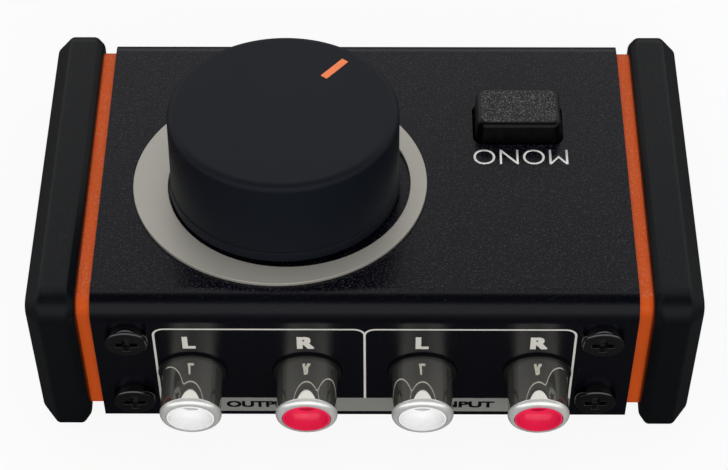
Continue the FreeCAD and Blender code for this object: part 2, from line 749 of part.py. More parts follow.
def make_contact(name):
    """The centre contact: a sleeve, closed at the back, with a tail bent down to the board."""
    back = "contact_mouth - contact_length"
    sleeve = at_socket(turned(f"{name}_sleeve", [
        ("0", back), ("contact_radius", back), ("contact_radius", "contact_mouth"),
        ("contact_bore", "contact_mouth"), ("contact_bore", f"{back} + contact_wall"),
        ("0", f"{back} + contact_wall")]), name)
    tail = rod(f"{name}_tail", "lead_radius", "contact_y", f"rear_y + {back} + contact_wall / 2",
               x=socket_x(name), z="socket_z", turn=TO_Y)
    pin = rod(f"{name}_pin", "pin_radius", "board_low_z - pin_tail", "socket_z + pin_radius",
              x=socket_x(name), y="contact_y")
    return fuse(f"{name}_contact", [sleeve, tail, pin])


# ------------------------------------------------------------------ potentiometer
def on_knob_axis(item, spin="0"):
    return lean(item, "knob_side", "knob_rear", spin)


def make_pot_case():
    return on_knob_axis(turned("pot_case", [
        ("0", "pot_low_h"), ("pot_radius", "pot_low_h"), ("pot_radius", "flange_low_h"),
        ("pot_radius - pot_wall", "flange_low_h"), ("pot_radius - pot_wall", "pot_floor_h"),
        ("0", "pot_floor_h")]))


def make_pot_track():
    """The resistance element on the floor of the case."""
    outer = "pot_radius - pot_wall - hole_gap"
    return on_knob_axis(turned("pot_track", [
        ("track_bore", "pot_floor_h"), (outer, "pot_floor_h"), (outer, "track_top_h"),
        ("track_bore", "track_top_h")]))


def make_pot_bushing():
    """The threaded bushing and the flange that closes the case."""
    bore = "shaft_radius + running_gap"
    return on_knob_axis(turned("pot_bushing", [
        (bore, "flange_low_h"), ("pot_radius", "flange_low_h"), ("pot_radius", "-sheet_thick"),
        ("bushing_radius", "-sheet_thick"), ("bushing_radius", "bushing_top"), (bore, "bushing_top")]))


def make_pot_shaft():
    """The shaft, with a flat where the knob grips it."""
    bar = rod("shaft_bar", "shaft_radius", "pot_floor_h + running_gap", "shaft_top")
    wide = "2 * shaft_radius"
    flat = box("shaft_flat_tool", ("shaft_flat", wide), (neg(wide), wide), ("hub_low_h", "shaft_top + 1"))
    return on_knob_axis(cut("pot_shaft", bar, [flat]))


def make_pot_wiper():
    """The disc on the shaft, its collar under the bushing and two brushes over the track."""
    bore = "shaft_radius + fit_gap"
    high = "wiper_low_h + wiper_thick"
    top = "flange_low_h - running_gap"
    disc = turned("wiper_disc", [
        (bore, "wiper_low_h"), ("wiper_radius", "wiper_low_h"), ("wiper_radius", high), ("wiper_collar", high),
        ("wiper_collar", top), (bore, top)])
    brushes = [rod(f"brush_{side}", "pin_radius", "track_top_h + running_gap", "wiper_low_h + wiper_thick / 2",
                   x=f"{sign} * brush_side") for side, sign in SIDES.items()]
    return on_knob_axis(fuse("pot_wiper", [disc] + brushes))


def make_pot_terminals():
    return on_knob_axis(group("pot_terminals", [
        rod(f"terminal_{index}", "terminal_radius", "panel_board_low_h - pin_tail", "pot_low_h", x=x, y=y)
        for index, (x, y) in enumerate(TERMINALS)]))


def make_pot_washer():
    bore = "bushing_radius + hole_gap"
    return on_knob_axis(turned("pot_washer", [
        (bore, "0"), ("washer_radius", "0"), ("washer_radius", "washer_thick"), (bore, "washer_thick")]))


def make_pot_nut():
    nut = doc.addObject("Part::Prism", "nut_blank")
    drive(nut, Circumradius="nut_flats / 2 / cos(30)", Height="nut_thick")
    place(nut, z="washer_thick")
    thread = rod("nut_thread", "bushing_radius + thread_gap", "0", "washer_thick + nut_thick + 1")
    return on_knob_axis(cut("pot_nut", nut, [thread]))


# ------------------------------------------------------------------ knob
def pointer_bar(name, gap, low, high):
    """A bar from the pointer's inner end to its outer end, with a gap round it."""
    half = f"(pointer_width / 2 + {gap})"
    near, far = f"-pointer_inner + {gap}", f"-pointer_outer - {gap}"
    return padded(name, "XY_Plane", [(neg(half), far), (half, far), (half, near), (neg(half), near)],
                  f"({high}) - ({low})", start=low)


def make_knob_shell():
    """The knob: a cup with a flange at its foot and a boss inside for the hub."""
    inner, boss_bore = "knob_radius - knob_wall", "hub_radius + fit_gap"
    boss, step = "hub_radius + boss_wall", "knob_lift + skirt_height"
    body = turned("knob_blank", [
        ("0", "knob_inner_h"), (boss_bore, "knob_inner_h"), (boss_bore, "hub_low_h"), (boss, "hub_low_h"),
        (boss, "knob_inner_h"), (inner, "knob_inner_h"), (inner, "knob_lift"), ("skirt_radius", "knob_lift"),
        ("skirt_radius", step), ("knob_radius", step), ("knob_radius", "knob_height"), ("0", "knob_height")])
    dress(body, "Fillet", "knob_top_round", rim("knob_height", "knob_radius"), "knob_round")
    dress(body, "Fillet", "skirt_edge", rim(step, "skirt_radius"), "skirt_round")
    slot = place(pointer_bar("pointer_slot", "fit_gap", "knob_height - pointer_depth", "knob_height + 1"),
                 turn=rotation((0, 0, 1), "-pointer_angle"))
    return on_knob_axis(cut("knob_shell", body, [slot]))


def make_knob_pointer():
    """The inlaid line, which at rest points to the front and left, the knob's lowest setting."""
    return on_knob_axis(pointer_bar("knob_pointer", "0", "knob_height - pointer_depth",
                                    "knob_height + pointer_proud"), "-pointer_angle")


def make_knob_hub():
    """The insert that grips the shaft and its flat."""
    insert = rod("hub_blank", "hub_radius", "hub_low_h", "knob_inner_h")
    gap = "fit_gap"
    wide = "2 * shaft_radius"
    bar = rod("hub_bore_bar", f"shaft_radius + {gap}", "hub_low_h - 1", f"shaft_top + {gap}")
    flat = box("hub_bore_flat", (f"shaft_flat + {gap}", wide), (neg(wide), wide),
               ("hub_low_h - 2", "shaft_top + 1"))
    return on_knob_axis(cut("knob_hub", insert, [cut("hub_bore", bar, [flat])]))


def make_trim_ring():
    """The flat ring round the knob, whose opening lies a little off its own centre."""
    disc = rod("ring_disc", "ring_radius", "0", "ring_thick")
    opening = rod("ring_opening", "ring_bore", "-1", "ring_thick + 1", x="ring_bore_side - ring_side",
                  y="ring_rear - ring_bore_rear")
    return lean(cut("trim_ring", disc, [opening]), "ring_side", "ring_rear")


# ------------------------------------------------------------------ mono button
def on_button_axis(item):
    return lean(item, "-button_side", "button_rear")


def make_mono_cap():
    """The cap, with a lip that stops under the cover and a socket for the plunger."""
    block = rounded_block("cap_block", "cap_width", "cap_depth", "cap_low_h", "cap_height", "cap_corner")
    dress(block, "Chamfer", "cap_top_bevel", level("Z", "cap_height"), "cap_bevel_drop", across="cap_bevel")
    lip = rounded_block("cap_lip", "cap_width + 2 * lip_width", "cap_depth + 2 * lip_width", "cap_low_h",
                        "lip_top_h", "cap_corner + lip_width")
    socket = square_bar("cap_socket", "plunger_side + 2 * fit_gap", "cap_low_h - 1", "plunger_top_h")
    return on_button_axis(cut("mono_cap", fuse("cap_with_lip", [block, lip]), [socket]))


def make_switch_case():
    """The switch body: a well for the plunger's foot and the spring under a roof with a square hole."""
    half = "switch_side / 2"
    block = box("case_block", (neg(half), half), (neg(half), half), ("pot_low_h", "switch_top_h"))
    well = square_bar("case_well", "plunger_foot + 2 * plunger_gap", "well_low_h", "well_top_h")
    hole = square_bar("case_hole", "plunger_side + 2 * plunger_gap", "well_low_h", "switch_top_h + 1")
    return on_button_axis(cut("switch_case", block, [fuse("case_room", [well, hole])]))


def make_switch_plunger():
    stem = square_bar("plunger_stem", "plunger_side", "plunger_low_h", "plunger_top_h")
    foot = square_bar("plunger_flange", "plunger_foot", "plunger_low_h", "plunger_low_h + plunger_foot_thick")
    return on_button_axis(fuse("switch_plunger", [stem, foot]))


def make_switch_spring():
    """The coil that lifts the plunger, from the floor of the well to the plunger's foot."""
    rise = "(plunger_low_h - well_low_h - 2 * spring_wire)"
    path = doc.addObject("Part::Helix", "spring_path")
    path.SegmentLength = 1
    drive(path, Pitch=f"{rise} / spring_turns", Height=rise, Radius="spring_radius")
    doc.recompute()
    section = doc.addObject("Part::Circle", "spring_section")
    drive(section, Radius="spring_wire")
    place(section, x="spring_radius", turn=rotation((1, 0, 0), 90))
    coil = doc.addObject("Part::Sweep", "spring_coil")
    coil.Sections = [section]
    coil.Spine = (path, [f"Edge{turn + 1}" for turn in range(len(path.Shape.Edges))])
    coil.Solid = True
    coil.Frenet = True
    place(coil, z="well_low_h + spring_wire")
    return on_button_axis(group("switch_spring", [coil]))


def make_switch_pins():
    return on_button_axis(group("switch_pins", [
        rod(f"switch_pin_{index}", "pin_radius", "panel_board_low_h - pin_tail", "pot_low_h", x=x, y=y)
        for index, (x, y) in enumerate(SWITCH_PINS)]))


# ------------------------------------------------------------------ the whole unit
def make_unit():
    nodes = [make_top_cover(), make_bottom_plate()]
    for side, sign in SIDES.items():
        nodes += [make_end_panel(f"end_panel_{side}", sign), make_cheek(f"cheek_{side}", sign)]
        nodes += [make_cheek_screw(side, end) for end in CHEEK_SCREWS]
    nodes += [make_rear_screw(end) for end in REAR_SCREWS]
    nodes += [make_bottom_screw(end) for end in FOOT_SCREWS]
    nodes += [make_main_board(), make_standoffs(), make_board_screws(), make_panel_board(),
              make_link_header(), make_link_pins(), make_resistors()]
    for name in SOCKETS:
        nodes += [make_block(name), make_shell(name), make_insulator(name), make_contact(name)]
    nodes += [make_pot_case(), make_pot_track(), make_pot_bushing(), make_pot_shaft(), make_pot_wiper(),
              make_pot_terminals(), make_pot_washer(), make_pot_nut()]
    nodes += [make_knob_shell(), make_knob_pointer(), make_knob_hub(), make_trim_ring()]
    nodes += [make_mono_cap(), make_switch_case(), make_switch_plunger(), make_switch_spring(),
              make_switch_pins()]
    doc.recompute()
    return nodes


def check(nodes):
    """Stop on any failed feature and on any empty or broken shape."""
    failed = [item.Name for item in doc.Objects if {"Invalid", "Error"} & set(item.State)]
    broken = [node.Label for node in nodes if node.Shape.isNull() or not node.Shape.isValid()]
    empty = [node.Label for node in nodes if not node.Shape.Solids]
    if failed or broken or empty:
        raise RuntimeError(f"failed: {failed}, broken: {broken}, empty: {empty}")


unit = make_unit()
check(unit)
os.makedirs("parts", exist_ok=True)
for node in unit:
    node.Shape.exportStep(f"parts/{node.Label}.step")
print(len(unit), "pieces written")
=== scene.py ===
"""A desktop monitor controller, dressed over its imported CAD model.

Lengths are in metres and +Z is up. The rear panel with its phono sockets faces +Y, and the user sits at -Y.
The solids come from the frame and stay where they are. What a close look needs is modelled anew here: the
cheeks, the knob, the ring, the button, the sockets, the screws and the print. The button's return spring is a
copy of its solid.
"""
import json
import logging
import math
from dataclasses import dataclass
from enum import Enum
from typing import Callable, ClassVar, Iterable, Sequence

import bmesh
import bpy
from mathutils import Matrix, Vector

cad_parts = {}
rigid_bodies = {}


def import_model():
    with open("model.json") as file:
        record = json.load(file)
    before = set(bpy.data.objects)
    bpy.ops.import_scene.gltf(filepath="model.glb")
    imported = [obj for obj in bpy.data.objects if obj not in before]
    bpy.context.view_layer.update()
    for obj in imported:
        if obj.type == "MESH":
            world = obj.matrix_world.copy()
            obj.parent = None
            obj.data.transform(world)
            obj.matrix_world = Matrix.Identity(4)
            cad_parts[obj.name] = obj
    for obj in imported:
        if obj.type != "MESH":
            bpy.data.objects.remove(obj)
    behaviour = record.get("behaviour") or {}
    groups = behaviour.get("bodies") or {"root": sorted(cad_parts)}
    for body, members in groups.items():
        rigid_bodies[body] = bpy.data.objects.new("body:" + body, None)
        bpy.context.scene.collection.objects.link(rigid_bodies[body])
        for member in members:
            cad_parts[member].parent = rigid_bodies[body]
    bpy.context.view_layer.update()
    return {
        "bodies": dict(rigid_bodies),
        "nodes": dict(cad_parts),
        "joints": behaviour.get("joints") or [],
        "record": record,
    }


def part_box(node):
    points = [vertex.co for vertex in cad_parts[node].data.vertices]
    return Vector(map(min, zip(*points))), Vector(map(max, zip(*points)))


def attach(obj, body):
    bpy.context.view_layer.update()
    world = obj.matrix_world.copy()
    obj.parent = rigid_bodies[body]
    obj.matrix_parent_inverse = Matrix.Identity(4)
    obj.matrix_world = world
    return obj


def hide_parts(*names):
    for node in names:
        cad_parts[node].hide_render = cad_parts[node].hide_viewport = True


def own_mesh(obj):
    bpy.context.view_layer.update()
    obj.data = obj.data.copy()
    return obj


MM = 0.001
LOG = logging.getLogger("monitor_controller")

# Points nearer than the first become one, and lengths nearer than the second count as the same.
MERGE_REACH = 1e-7
SAME_LENGTH = 1e-5

# The sockets of a Mix node that take and give colours.
MIX_SHARE, MIX_FIRST, MIX_SECOND, MIX_RESULT = 0, 6, 7, 2

Colour = tuple[float, float, float]
Corner = tuple[float, float]
Corner3 = tuple[float, float, float]
PointTest = Callable[[Vector], bool]
Piece = bpy.types.Object
Tree = bpy.types.NodeTree
Node = bpy.types.Node
Signal = bpy.types.NodeSocket


# ------------------------------------------------------------------ hand tools
class Element(Enum):
    """What a selection takes in."""

    CORNERS = "VERT"
    EDGES = "EDGE"
    FACES = "FACE"


class Axis(Enum):
    """How a piece built upright is turned before it is set down."""

    REAR = (-90.0, 0.0, 0.0)
    DOWN = (180.0, 0.0, 0.0)
    READ_FROM_REAR = (90.0, 0.0, 180.0)

    def matrix(self) -> Matrix:
        """The turn as a matrix."""
        x, y, z = (math.radians(angle) for angle in self.value)
        return Matrix.Rotation(z, 4, "Z") @ Matrix.Rotation(y, 4, "Y") @ Matrix.Rotation(x, 4, "X")


def clear_selection() -> None:
    """Leave edit mode and deselect everything, so that the next operator acts on its own piece alone."""
    if bpy.context.mode != "OBJECT":
        bpy.ops.object.mode_set(mode="OBJECT")
    bpy.ops.object.select_all(action="DESELECT")


def take(piece: Piece) -> None:
    """Make a piece the only selected and the active one.

    Args:
        piece: The object to work on.
    """
    clear_selection()
    piece.select_set(True)
    bpy.context.view_layer.objects.active = piece


def fix_place(piece: Piece, name: str) -> Piece:
    """Write the object's place, turn and scale into its mesh and name it.

    Args:
        piece: The object to fix.
        name: The name that the object and its mesh get.

    Returns:
        The same object, now at the origin.
    """
    take(piece)
    bpy.ops.object.transform_apply(location=True, rotation=True, scale=True)
    piece.name = name
    piece.data.name = name
    return piece


def set_down(piece: Piece, place: Matrix) -> Piece:
    """Carry a piece that is built about the origin to its place, in its mesh.

    Args:
        piece: The object to carry.
        place: Where its own origin and axes go.

    Returns:
        The same object.
    """
    piece.matrix_world = place
    return fix_place(piece, piece.name)


def copy_of(piece: Piece, name: str) -> Piece:
    """Copy a piece with a mesh of its own.

    Args:
        piece: The object to copy.
        name: The copy's name.

    Returns:
        The copy.
    """
    take(piece)
    bpy.ops.object.duplicate(linked=False)
    twin = bpy.context.object
    twin.name = name
    twin.data.name = name
    return twin


def pick(piece: Piece, element: Element, test: PointTest) -> None:
    """In edit mode, select the corners, edges or faces whose middle passes a test, and nothing else.

    Args:
        piece: The object in edit mode.
        element: Whether corners, edges or faces are picked.
        test: Takes the middle of each.
    """
    bpy.ops.mesh.select_mode(type=element.value)
    bpy.ops.mesh.select_all(action="DESELECT")
    mesh = bmesh.from_edit_mesh(piece.data)
    parts, middle = {
        Element.CORNERS: (mesh.verts, lambda corner: corner.co),
        Element.EDGES: (mesh.edges, lambda edge: (edge.verts[0].co + edge.verts[1].co) / 2),
        Element.FACES: (mesh.faces, lambda face: face.calc_center_median()),
    }[element]
    for part in parts:
        part.select_set(test(middle(part)))
    bmesh.update_edit_mesh(piece.data)


def edit(piece: Piece) -> None:
    """Open a piece in edit mode with nothing selected.

    Args:
        piece: The object to open.
    """
    take(piece)
    bpy.ops.object.mode_set(mode="EDIT")
    bpy.ops.mesh.select_all(action="DESELECT")


def finish_edit() -> None:
    """Merge doubles, turn all faces outwards and leave edit mode."""
    bpy.ops.mesh.select_all(action="SELECT")
    bpy.ops.mesh.remove_doubles(threshold=MERGE_REACH)
    bpy.ops.mesh.normals_make_consistent(inside=False)
    bpy.ops.object.mode_set(mode="OBJECT")


def near(value: float, wanted: float) -> bool:
    """Whether two lengths are the same within a hundredth of a millimetre."""
    return abs(value - wanted) < SAME_LENGTH


def span(points: Iterable[Vector]) -> tuple[Vector, Vector]:
    """The box round some points.

    Args:
        points: The points.

    Returns:
        Its lowest and highest corners.
    """
    columns = list(zip(*points))
    return Vector([min(column) for column in columns]), Vector([max(column) for column in columns])


def quarter_turn(steps: int) -> list[float]:
    """Angles in radians that lead from 0 to 90 degrees in equal steps."""
    return [math.pi / 2 * step / steps for step in range(steps + 1)]


def turned(name: str, profile: Sequence[Corner], segments: int) -> Piece:
    """Turn a closed profile about Z: a circle is extruded from one corner to the next and joined up.

    Args:
        name: The piece's name.
        profile: Corners of (radius, height). A radius of zero lies on the axis, and is only first or last.
        segments: How many sides the round has.

    Returns:
        The turned object.
    """
    clear_selection()
    on_axis = profile[0][0] == 0
    start = profile[1] if on_axis else profile[0]
    rest = list(profile[2:] if on_axis else profile[1:]) + ([] if on_axis else [start])
    bpy.ops.mesh.primitive_circle_add(vertices=segments, radius=start[0], location=(0, 0, start[1]),
                                      fill_type="NGON" if on_axis else "NOTHING")
    piece = fix_place(bpy.context.object, name)
    edit(piece)
    pick(piece, Element.EDGES, lambda middle: True)
    radius, height = start
    for next_radius, next_height in rest:
        bpy.ops.mesh.extrude_edges_move(TRANSFORM_OT_translate={"value": (0, 0, next_height - height)})
        if next_radius == 0:
            bpy.ops.mesh.edge_collapse()
            break
        share = next_radius / radius
        bpy.ops.transform.resize(value=(share, share, 1), center_override=(0, 0, 0))
        radius, height = next_radius, next_height
    finish_edit()
    return piece


def block(name: str, low: Sequence[float], high: Sequence[float]) -> Piece:
    """A cube between two corners, to be shaped further.

    Args:
        name: The piece's name.
        low: The lowest corner.
        high: The highest corner.

    Returns:
        The object.
    """
    clear_selection()
    low, high = Vector(low), Vector(high)
    bpy.ops.mesh.primitive_cube_add(size=1, location=(low + high) / 2)
    piece = bpy.context.object
    piece.scale = high - low
    return fix_place(piece, name)


def round_edges(piece: Piece, test: PointTest, width: float, segments: int) -> None:
    """Bevel the edges that pass a test.

    Args:
        piece: The object to work on.
        test: Takes the middle of an edge.
        width: The bevel's width.
        segments: 1 gives a flat chamfer, more a round.
    """
    edit(piece)
    pick(piece, Element.EDGES, test)
    bpy.ops.mesh.bevel(offset=width, segments=segments, affect="EDGES", clamp_overlap=False)
    finish_edit()


def soften(piece: Piece, width: float, angle: float = 25.0) -> None:
    """Give every sharp edge that is left a small round of three faces.

    Args:
        piece: The object to work on.
        width: The round's width.
        angle: Edges sharper than this many degrees are rounded.
    """
    take(piece)
    rounding = piece.modifiers.new("soft_edges", "BEVEL")
    rounding.width = width
    rounding.segments = 3
    rounding.limit_method = "ANGLE"
    rounding.angle_limit = math.radians(angle)
    rounding.harden_normals = False
    bpy.ops.object.modifier_apply(modifier=rounding.name)


def smooth(piece: Piece, angle: float = 35.0) -> None:
    """Shade smoothly across all but the sharp edges, with flat faces kept flat.

    Args:
        piece: The object to work on.
        angle: Edges sharper than this many degrees stay sharp.
    """
    take(piece)
    bpy.ops.object.shade_smooth_by_angle(angle=math.radians(angle))
    weighted = piece.modifiers.new("flat_faces", "WEIGHTED_NORMAL")
    weighted.keep_sharp = True
    bpy.ops.object.modifier_apply(modifier=weighted.name)


def carve(piece: Piece, tool: Piece) -> None:
    """Cut a tool out of a piece and throw the tool away.

    Args:
        piece: The object that is cut.
        tool: The object that cuts it.
    """
    take(piece)
    cutting = piece.modifiers.new("cut", "BOOLEAN")
    cutting.operation = "DIFFERENCE"
    cutting.solver = "EXACT"
    cutting.object = tool
    bpy.ops.object.modifier_apply(modifier=cutting.name)
    bpy.data.objects.remove(tool, do_unlink=True)


def joined(name: str, pieces: Sequence[Piece]) -> Piece:
    """Join several objects into one.

    Args:
        name: The joined object's name.
        pieces: The objects, of which the first takes in the others.

    Returns:
        The joined object.
    """
    clear_selection()
    for piece in pieces:
        piece.select_set(True)
    bpy.context.view_layer.objects.active = pieces[0]
    bpy.ops.object.join()
    pieces[0].name = name
    pieces[0].data.name = name
    return pieces[0]


def mount_piece(piece: Piece, body: str, material: bpy.types.Material,
                replaced: Sequence[str] = ()) -> None:
    """Dress a finished piece and let it ride on its body.

    Args:
        piece: The finished object.
        body: The CAD body that it moves with.
        material: Its material.
        replaced: CAD nodes that it stands for.
    """
    piece.data.materials.clear()
    piece.data.materials.append(material)
    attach(piece, body)
    if replaced:
        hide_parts(*replaced)
    LOG.info("%s: %d faces, rides on %s", piece.name, len(piece.data.polygons), body)


# ------------------------------------------------------------------ shared effects
def feed(tree: Tree, socket: Signal, value: object) -> None:
    """Link an input to an output, or set it.

    Args:
        tree: The tree that it is in.
        socket: The input.
        value: An output socket, or a number or colour.
    """
    if isinstance(value, Signal):
        tree.links.new(value, socket)
    else:
        socket.default_value = value


class Effect:
    """A shader node group that several finishes use, built once and read at the point in its Place input."""

    name: ClassVar[str] = ""
    inputs: ClassVar[dict[str, float]] = {}
    outputs: ClassVar[tuple[str, ...]] = ()

    def tree(self) -> Tree:
        """The group's node tree, made on first use."""
        found = bpy.data.node_groups.get(self.name)
        return found if found else self._build()

    def _build(self) -> Tree:
        """Make the sockets, then let the effect lay its nodes.

        Returns:
            The group's node tree.
        """
        tree = bpy.data.node_groups.new(self.name, "ShaderNodeTree")
        tree.interface.new_socket(name="Place", in_out="INPUT", socket_type="NodeSocketVector")
        for label, value in self.inputs.items():
            socket = tree.interface.new_socket(name=label, in_out="INPUT", socket_type="NodeSocketFloat")
            socket.default_value = value
        for label in self.outputs:
            tree.interface.new_socket(name=label, in_out="OUTPUT", socket_type="NodeSocketFloat")
        entry = tree.nodes.new("NodeGroupInput")
        leave = tree.nodes.new("NodeGroupOutput")
        self.lay(tree, entry, leave)
        return tree

    def lay(self, tree: Tree, entry: Node, leave: Node) -> None:
        """Lay the effect's own nodes between the group's two ends.

        Args:
            tree: The group's tree.
            entry: The group's input node.
            leave: The group's output node.
        """
        raise NotImplementedError


def math_node(tree: Tree, operation: str, *values: object) -> Signal:
    """A math node fed by sockets or numbers.

    Args:
        tree: The tree that it goes into.
        operation: Its operation.
        values: Sockets or numbers, in order.

    Returns:
        Its output.
    """
    node = tree.nodes.new("ShaderNodeMath")
    node.operation = operation
    for socket, value in zip(node.inputs, values):
        feed(tree, socket, value)
    return node.outputs[0]


def noise(tree: Tree, place: Signal, scale: object, detail: float, roughness: float = 0.5) -> Signal:
    """A noise texture's value.

    Args:
        tree: The tree that it goes into.
        place: The point that it is read at.
        scale: Its scale, a socket or a number.
        detail: How many finer layers it has.
        roughness: How strong they are.

    Returns:
        Its value, about 0.5 on average.
    """
    node = tree.nodes.new("ShaderNodeTexNoise")
    node.inputs["Detail"].default_value = detail
    node.inputs["Roughness"].default_value = roughness
    tree.links.new(place, node.inputs["Vector"])
    feed(tree, node.inputs["Scale"], scale)
    return node.outputs["Fac"]


def remap(tree: Tree, value: Signal, low: float, high: float, new_low: object = 0.0,
          new_high: object = 1.0) -> Signal:
    """Spread a value's range onto another one, cut off at its ends.

    Args:
        tree: The tree that it goes into.
        value: The value.
        low: What becomes new_low.
        high: What becomes new_high.
        new_low: The new range's start, a socket or a number.
        new_high: The new range's end, a socket or a number.

    Returns:
        The new value.
    """
    node = tree.nodes.new("ShaderNodeMapRange")
    for label, number in (("Value", value), ("From Min", low), ("From Max", high), ("To Min", new_low),
                          ("To Max", new_high)):
        feed(tree, node.inputs[label], number)
    return node.outputs["Result"]


class Grain(Effect):
    """Fine grain, as in powder coat or a spark-eroded mould: a height, and a mask of its highest tips, which
    finishes paint lighter as glints.
    """

    name = "grain"
    inputs = {"Size": 0.3 * MM}
    outputs = ("Height", "Crest Glints")
    finer: ClassVar[float] = 3.1
    coarse_share: ClassVar[float] = 0.7
    crest_range: ClassVar[Corner] = (0.52, 0.68)

    def lay(self, tree: Tree, entry: Node, leave: Node) -> None:
        """Two layers of noise, the finer one a third of the size.

        Args:
            tree: The group's tree.
            entry: The group's input node.
            leave: The group's output node.
        """
        scale = math_node(tree, "DIVIDE", 1.0, entry.outputs["Size"])
        coarse = noise(tree, entry.outputs["Place"], scale, detail=3.0, roughness=0.6)
        fine = noise(tree, entry.outputs["Place"], math_node(tree, "MULTIPLY", scale, self.finer), detail=1.0)
        height = math_node(tree, "ADD", math_node(tree, "MULTIPLY", coarse, self.coarse_share),
                           math_node(tree, "MULTIPLY", fine, 1 - self.coarse_share))
        tree.links.new(height, leave.inputs["Height"])
        # The tip mask carries painted glints once a finish colours it lighter.
        tree.links.new(remap(tree, height, *self.crest_range), leave.inputs["Crest Glints"])


class Patches(Effect):
    """Broad, faint patches: handling, uneven coating and the drift of a moulded colour."""

    name = "patches"
    inputs = {"Size": 20 * MM, "Low": 0.9, "High": 1.1}
    outputs = ("Value",)
    cloud_range: ClassVar[Corner] = (0.3, 0.7)

    def lay(self, tree: Tree, entry: Node, leave: Node) -> None:
        """One soft noise, spread between the two values.

        Args:
            tree: The group's tree.
            entry: The group's input node.
            leave: The group's output node.
        """
        scale = math_node(tree, "DIVIDE", 1.0, entry.outputs["Size"])
        cloud = noise(tree, entry.outputs["Place"], scale, detail=3.0, roughness=0.55)
        value = remap(tree, cloud, *self.cloud_range, entry.outputs["Low"], entry.outputs["High"])
        tree.links.new(value, leave.inputs["Value"])


class Dust(Effect):
    """Sparse pale specks of dust."""

    name = "dust"
    inputs = {"Size": 1.2 * MM}
    outputs = ("Mask",)
    speck_range: ClassVar[Corner] = (0.05, 0.03)
    broader: ClassVar[float] = 0.31
    thinning: ClassVar[Corner] = (0.58, 0.62)

    def lay(self, tree: Tree, entry: Node, leave: Node) -> None:
        """Small dots at the middles of cells, thinned out by a second, broader pattern.

        Args:
            tree: The group's tree.
            entry: The group's input node.
            leave: The group's output node.
        """
        scale = math_node(tree, "DIVIDE", 1.0, entry.outputs["Size"])
        cells = tree.nodes.new("ShaderNodeTexVoronoi")
        tree.links.new(entry.outputs["Place"], cells.inputs["Vector"])
        tree.links.new(scale, cells.inputs["Scale"])
        dots = remap(tree, cells.outputs["Distance"], *self.speck_range)
        broad_scale = math_node(tree, "MULTIPLY", scale, self.broader)
        broad = noise(tree, entry.outputs["Place"], broad_scale, detail=1.0)
        mask = math_node(tree, "MULTIPLY", dots, remap(tree, broad, *self.thinning))
        tree.links.new(mask, leave.inputs["Mask"])


class Scratches(Effect):
    """Fine lines round an axis, as a lathe or a buffing wheel leaves on metal."""

    name = "scratches"
    inputs = {"Spacing": 0.1 * MM}
    outputs = ("Height",)
    wander: ClassVar[float] = 0.2 * MM

    def lay(self, tree: Tree, entry: Node, leave: Node) -> None:
        """Noise read at the radius and the height alone, broken up a little on its way round.

        Args:
            tree: The group's tree.
            entry: The group's input node.
            leave: The group's output node.
        """
        parts = tree.nodes.new("ShaderNodeSeparateXYZ")
        tree.links.new(entry.outputs["Place"], parts.inputs[0])
        x, y, z = parts.outputs
        squares = math_node(tree, "ADD", math_node(tree, "MULTIPLY", x, x), math_node(tree, "MULTIPLY", y, y))
        radius = math_node(tree, "SQRT", squares)
        turn = math_node(tree, "MULTIPLY", math_node(tree, "ARCTAN2", y, x), self.wander)
        spot = tree.nodes.new("ShaderNodeCombineXYZ")
        for value, socket in zip((radius, turn, z), spot.inputs):
            tree.links.new(value, socket)
        scale = math_node(tree, "DIVIDE", 1.0, entry.outputs["Spacing"])
        lines = noise(tree, spot.outputs[0], scale, detail=2.0, roughness=0.7)
        tree.links.new(lines, leave.inputs["Height"])


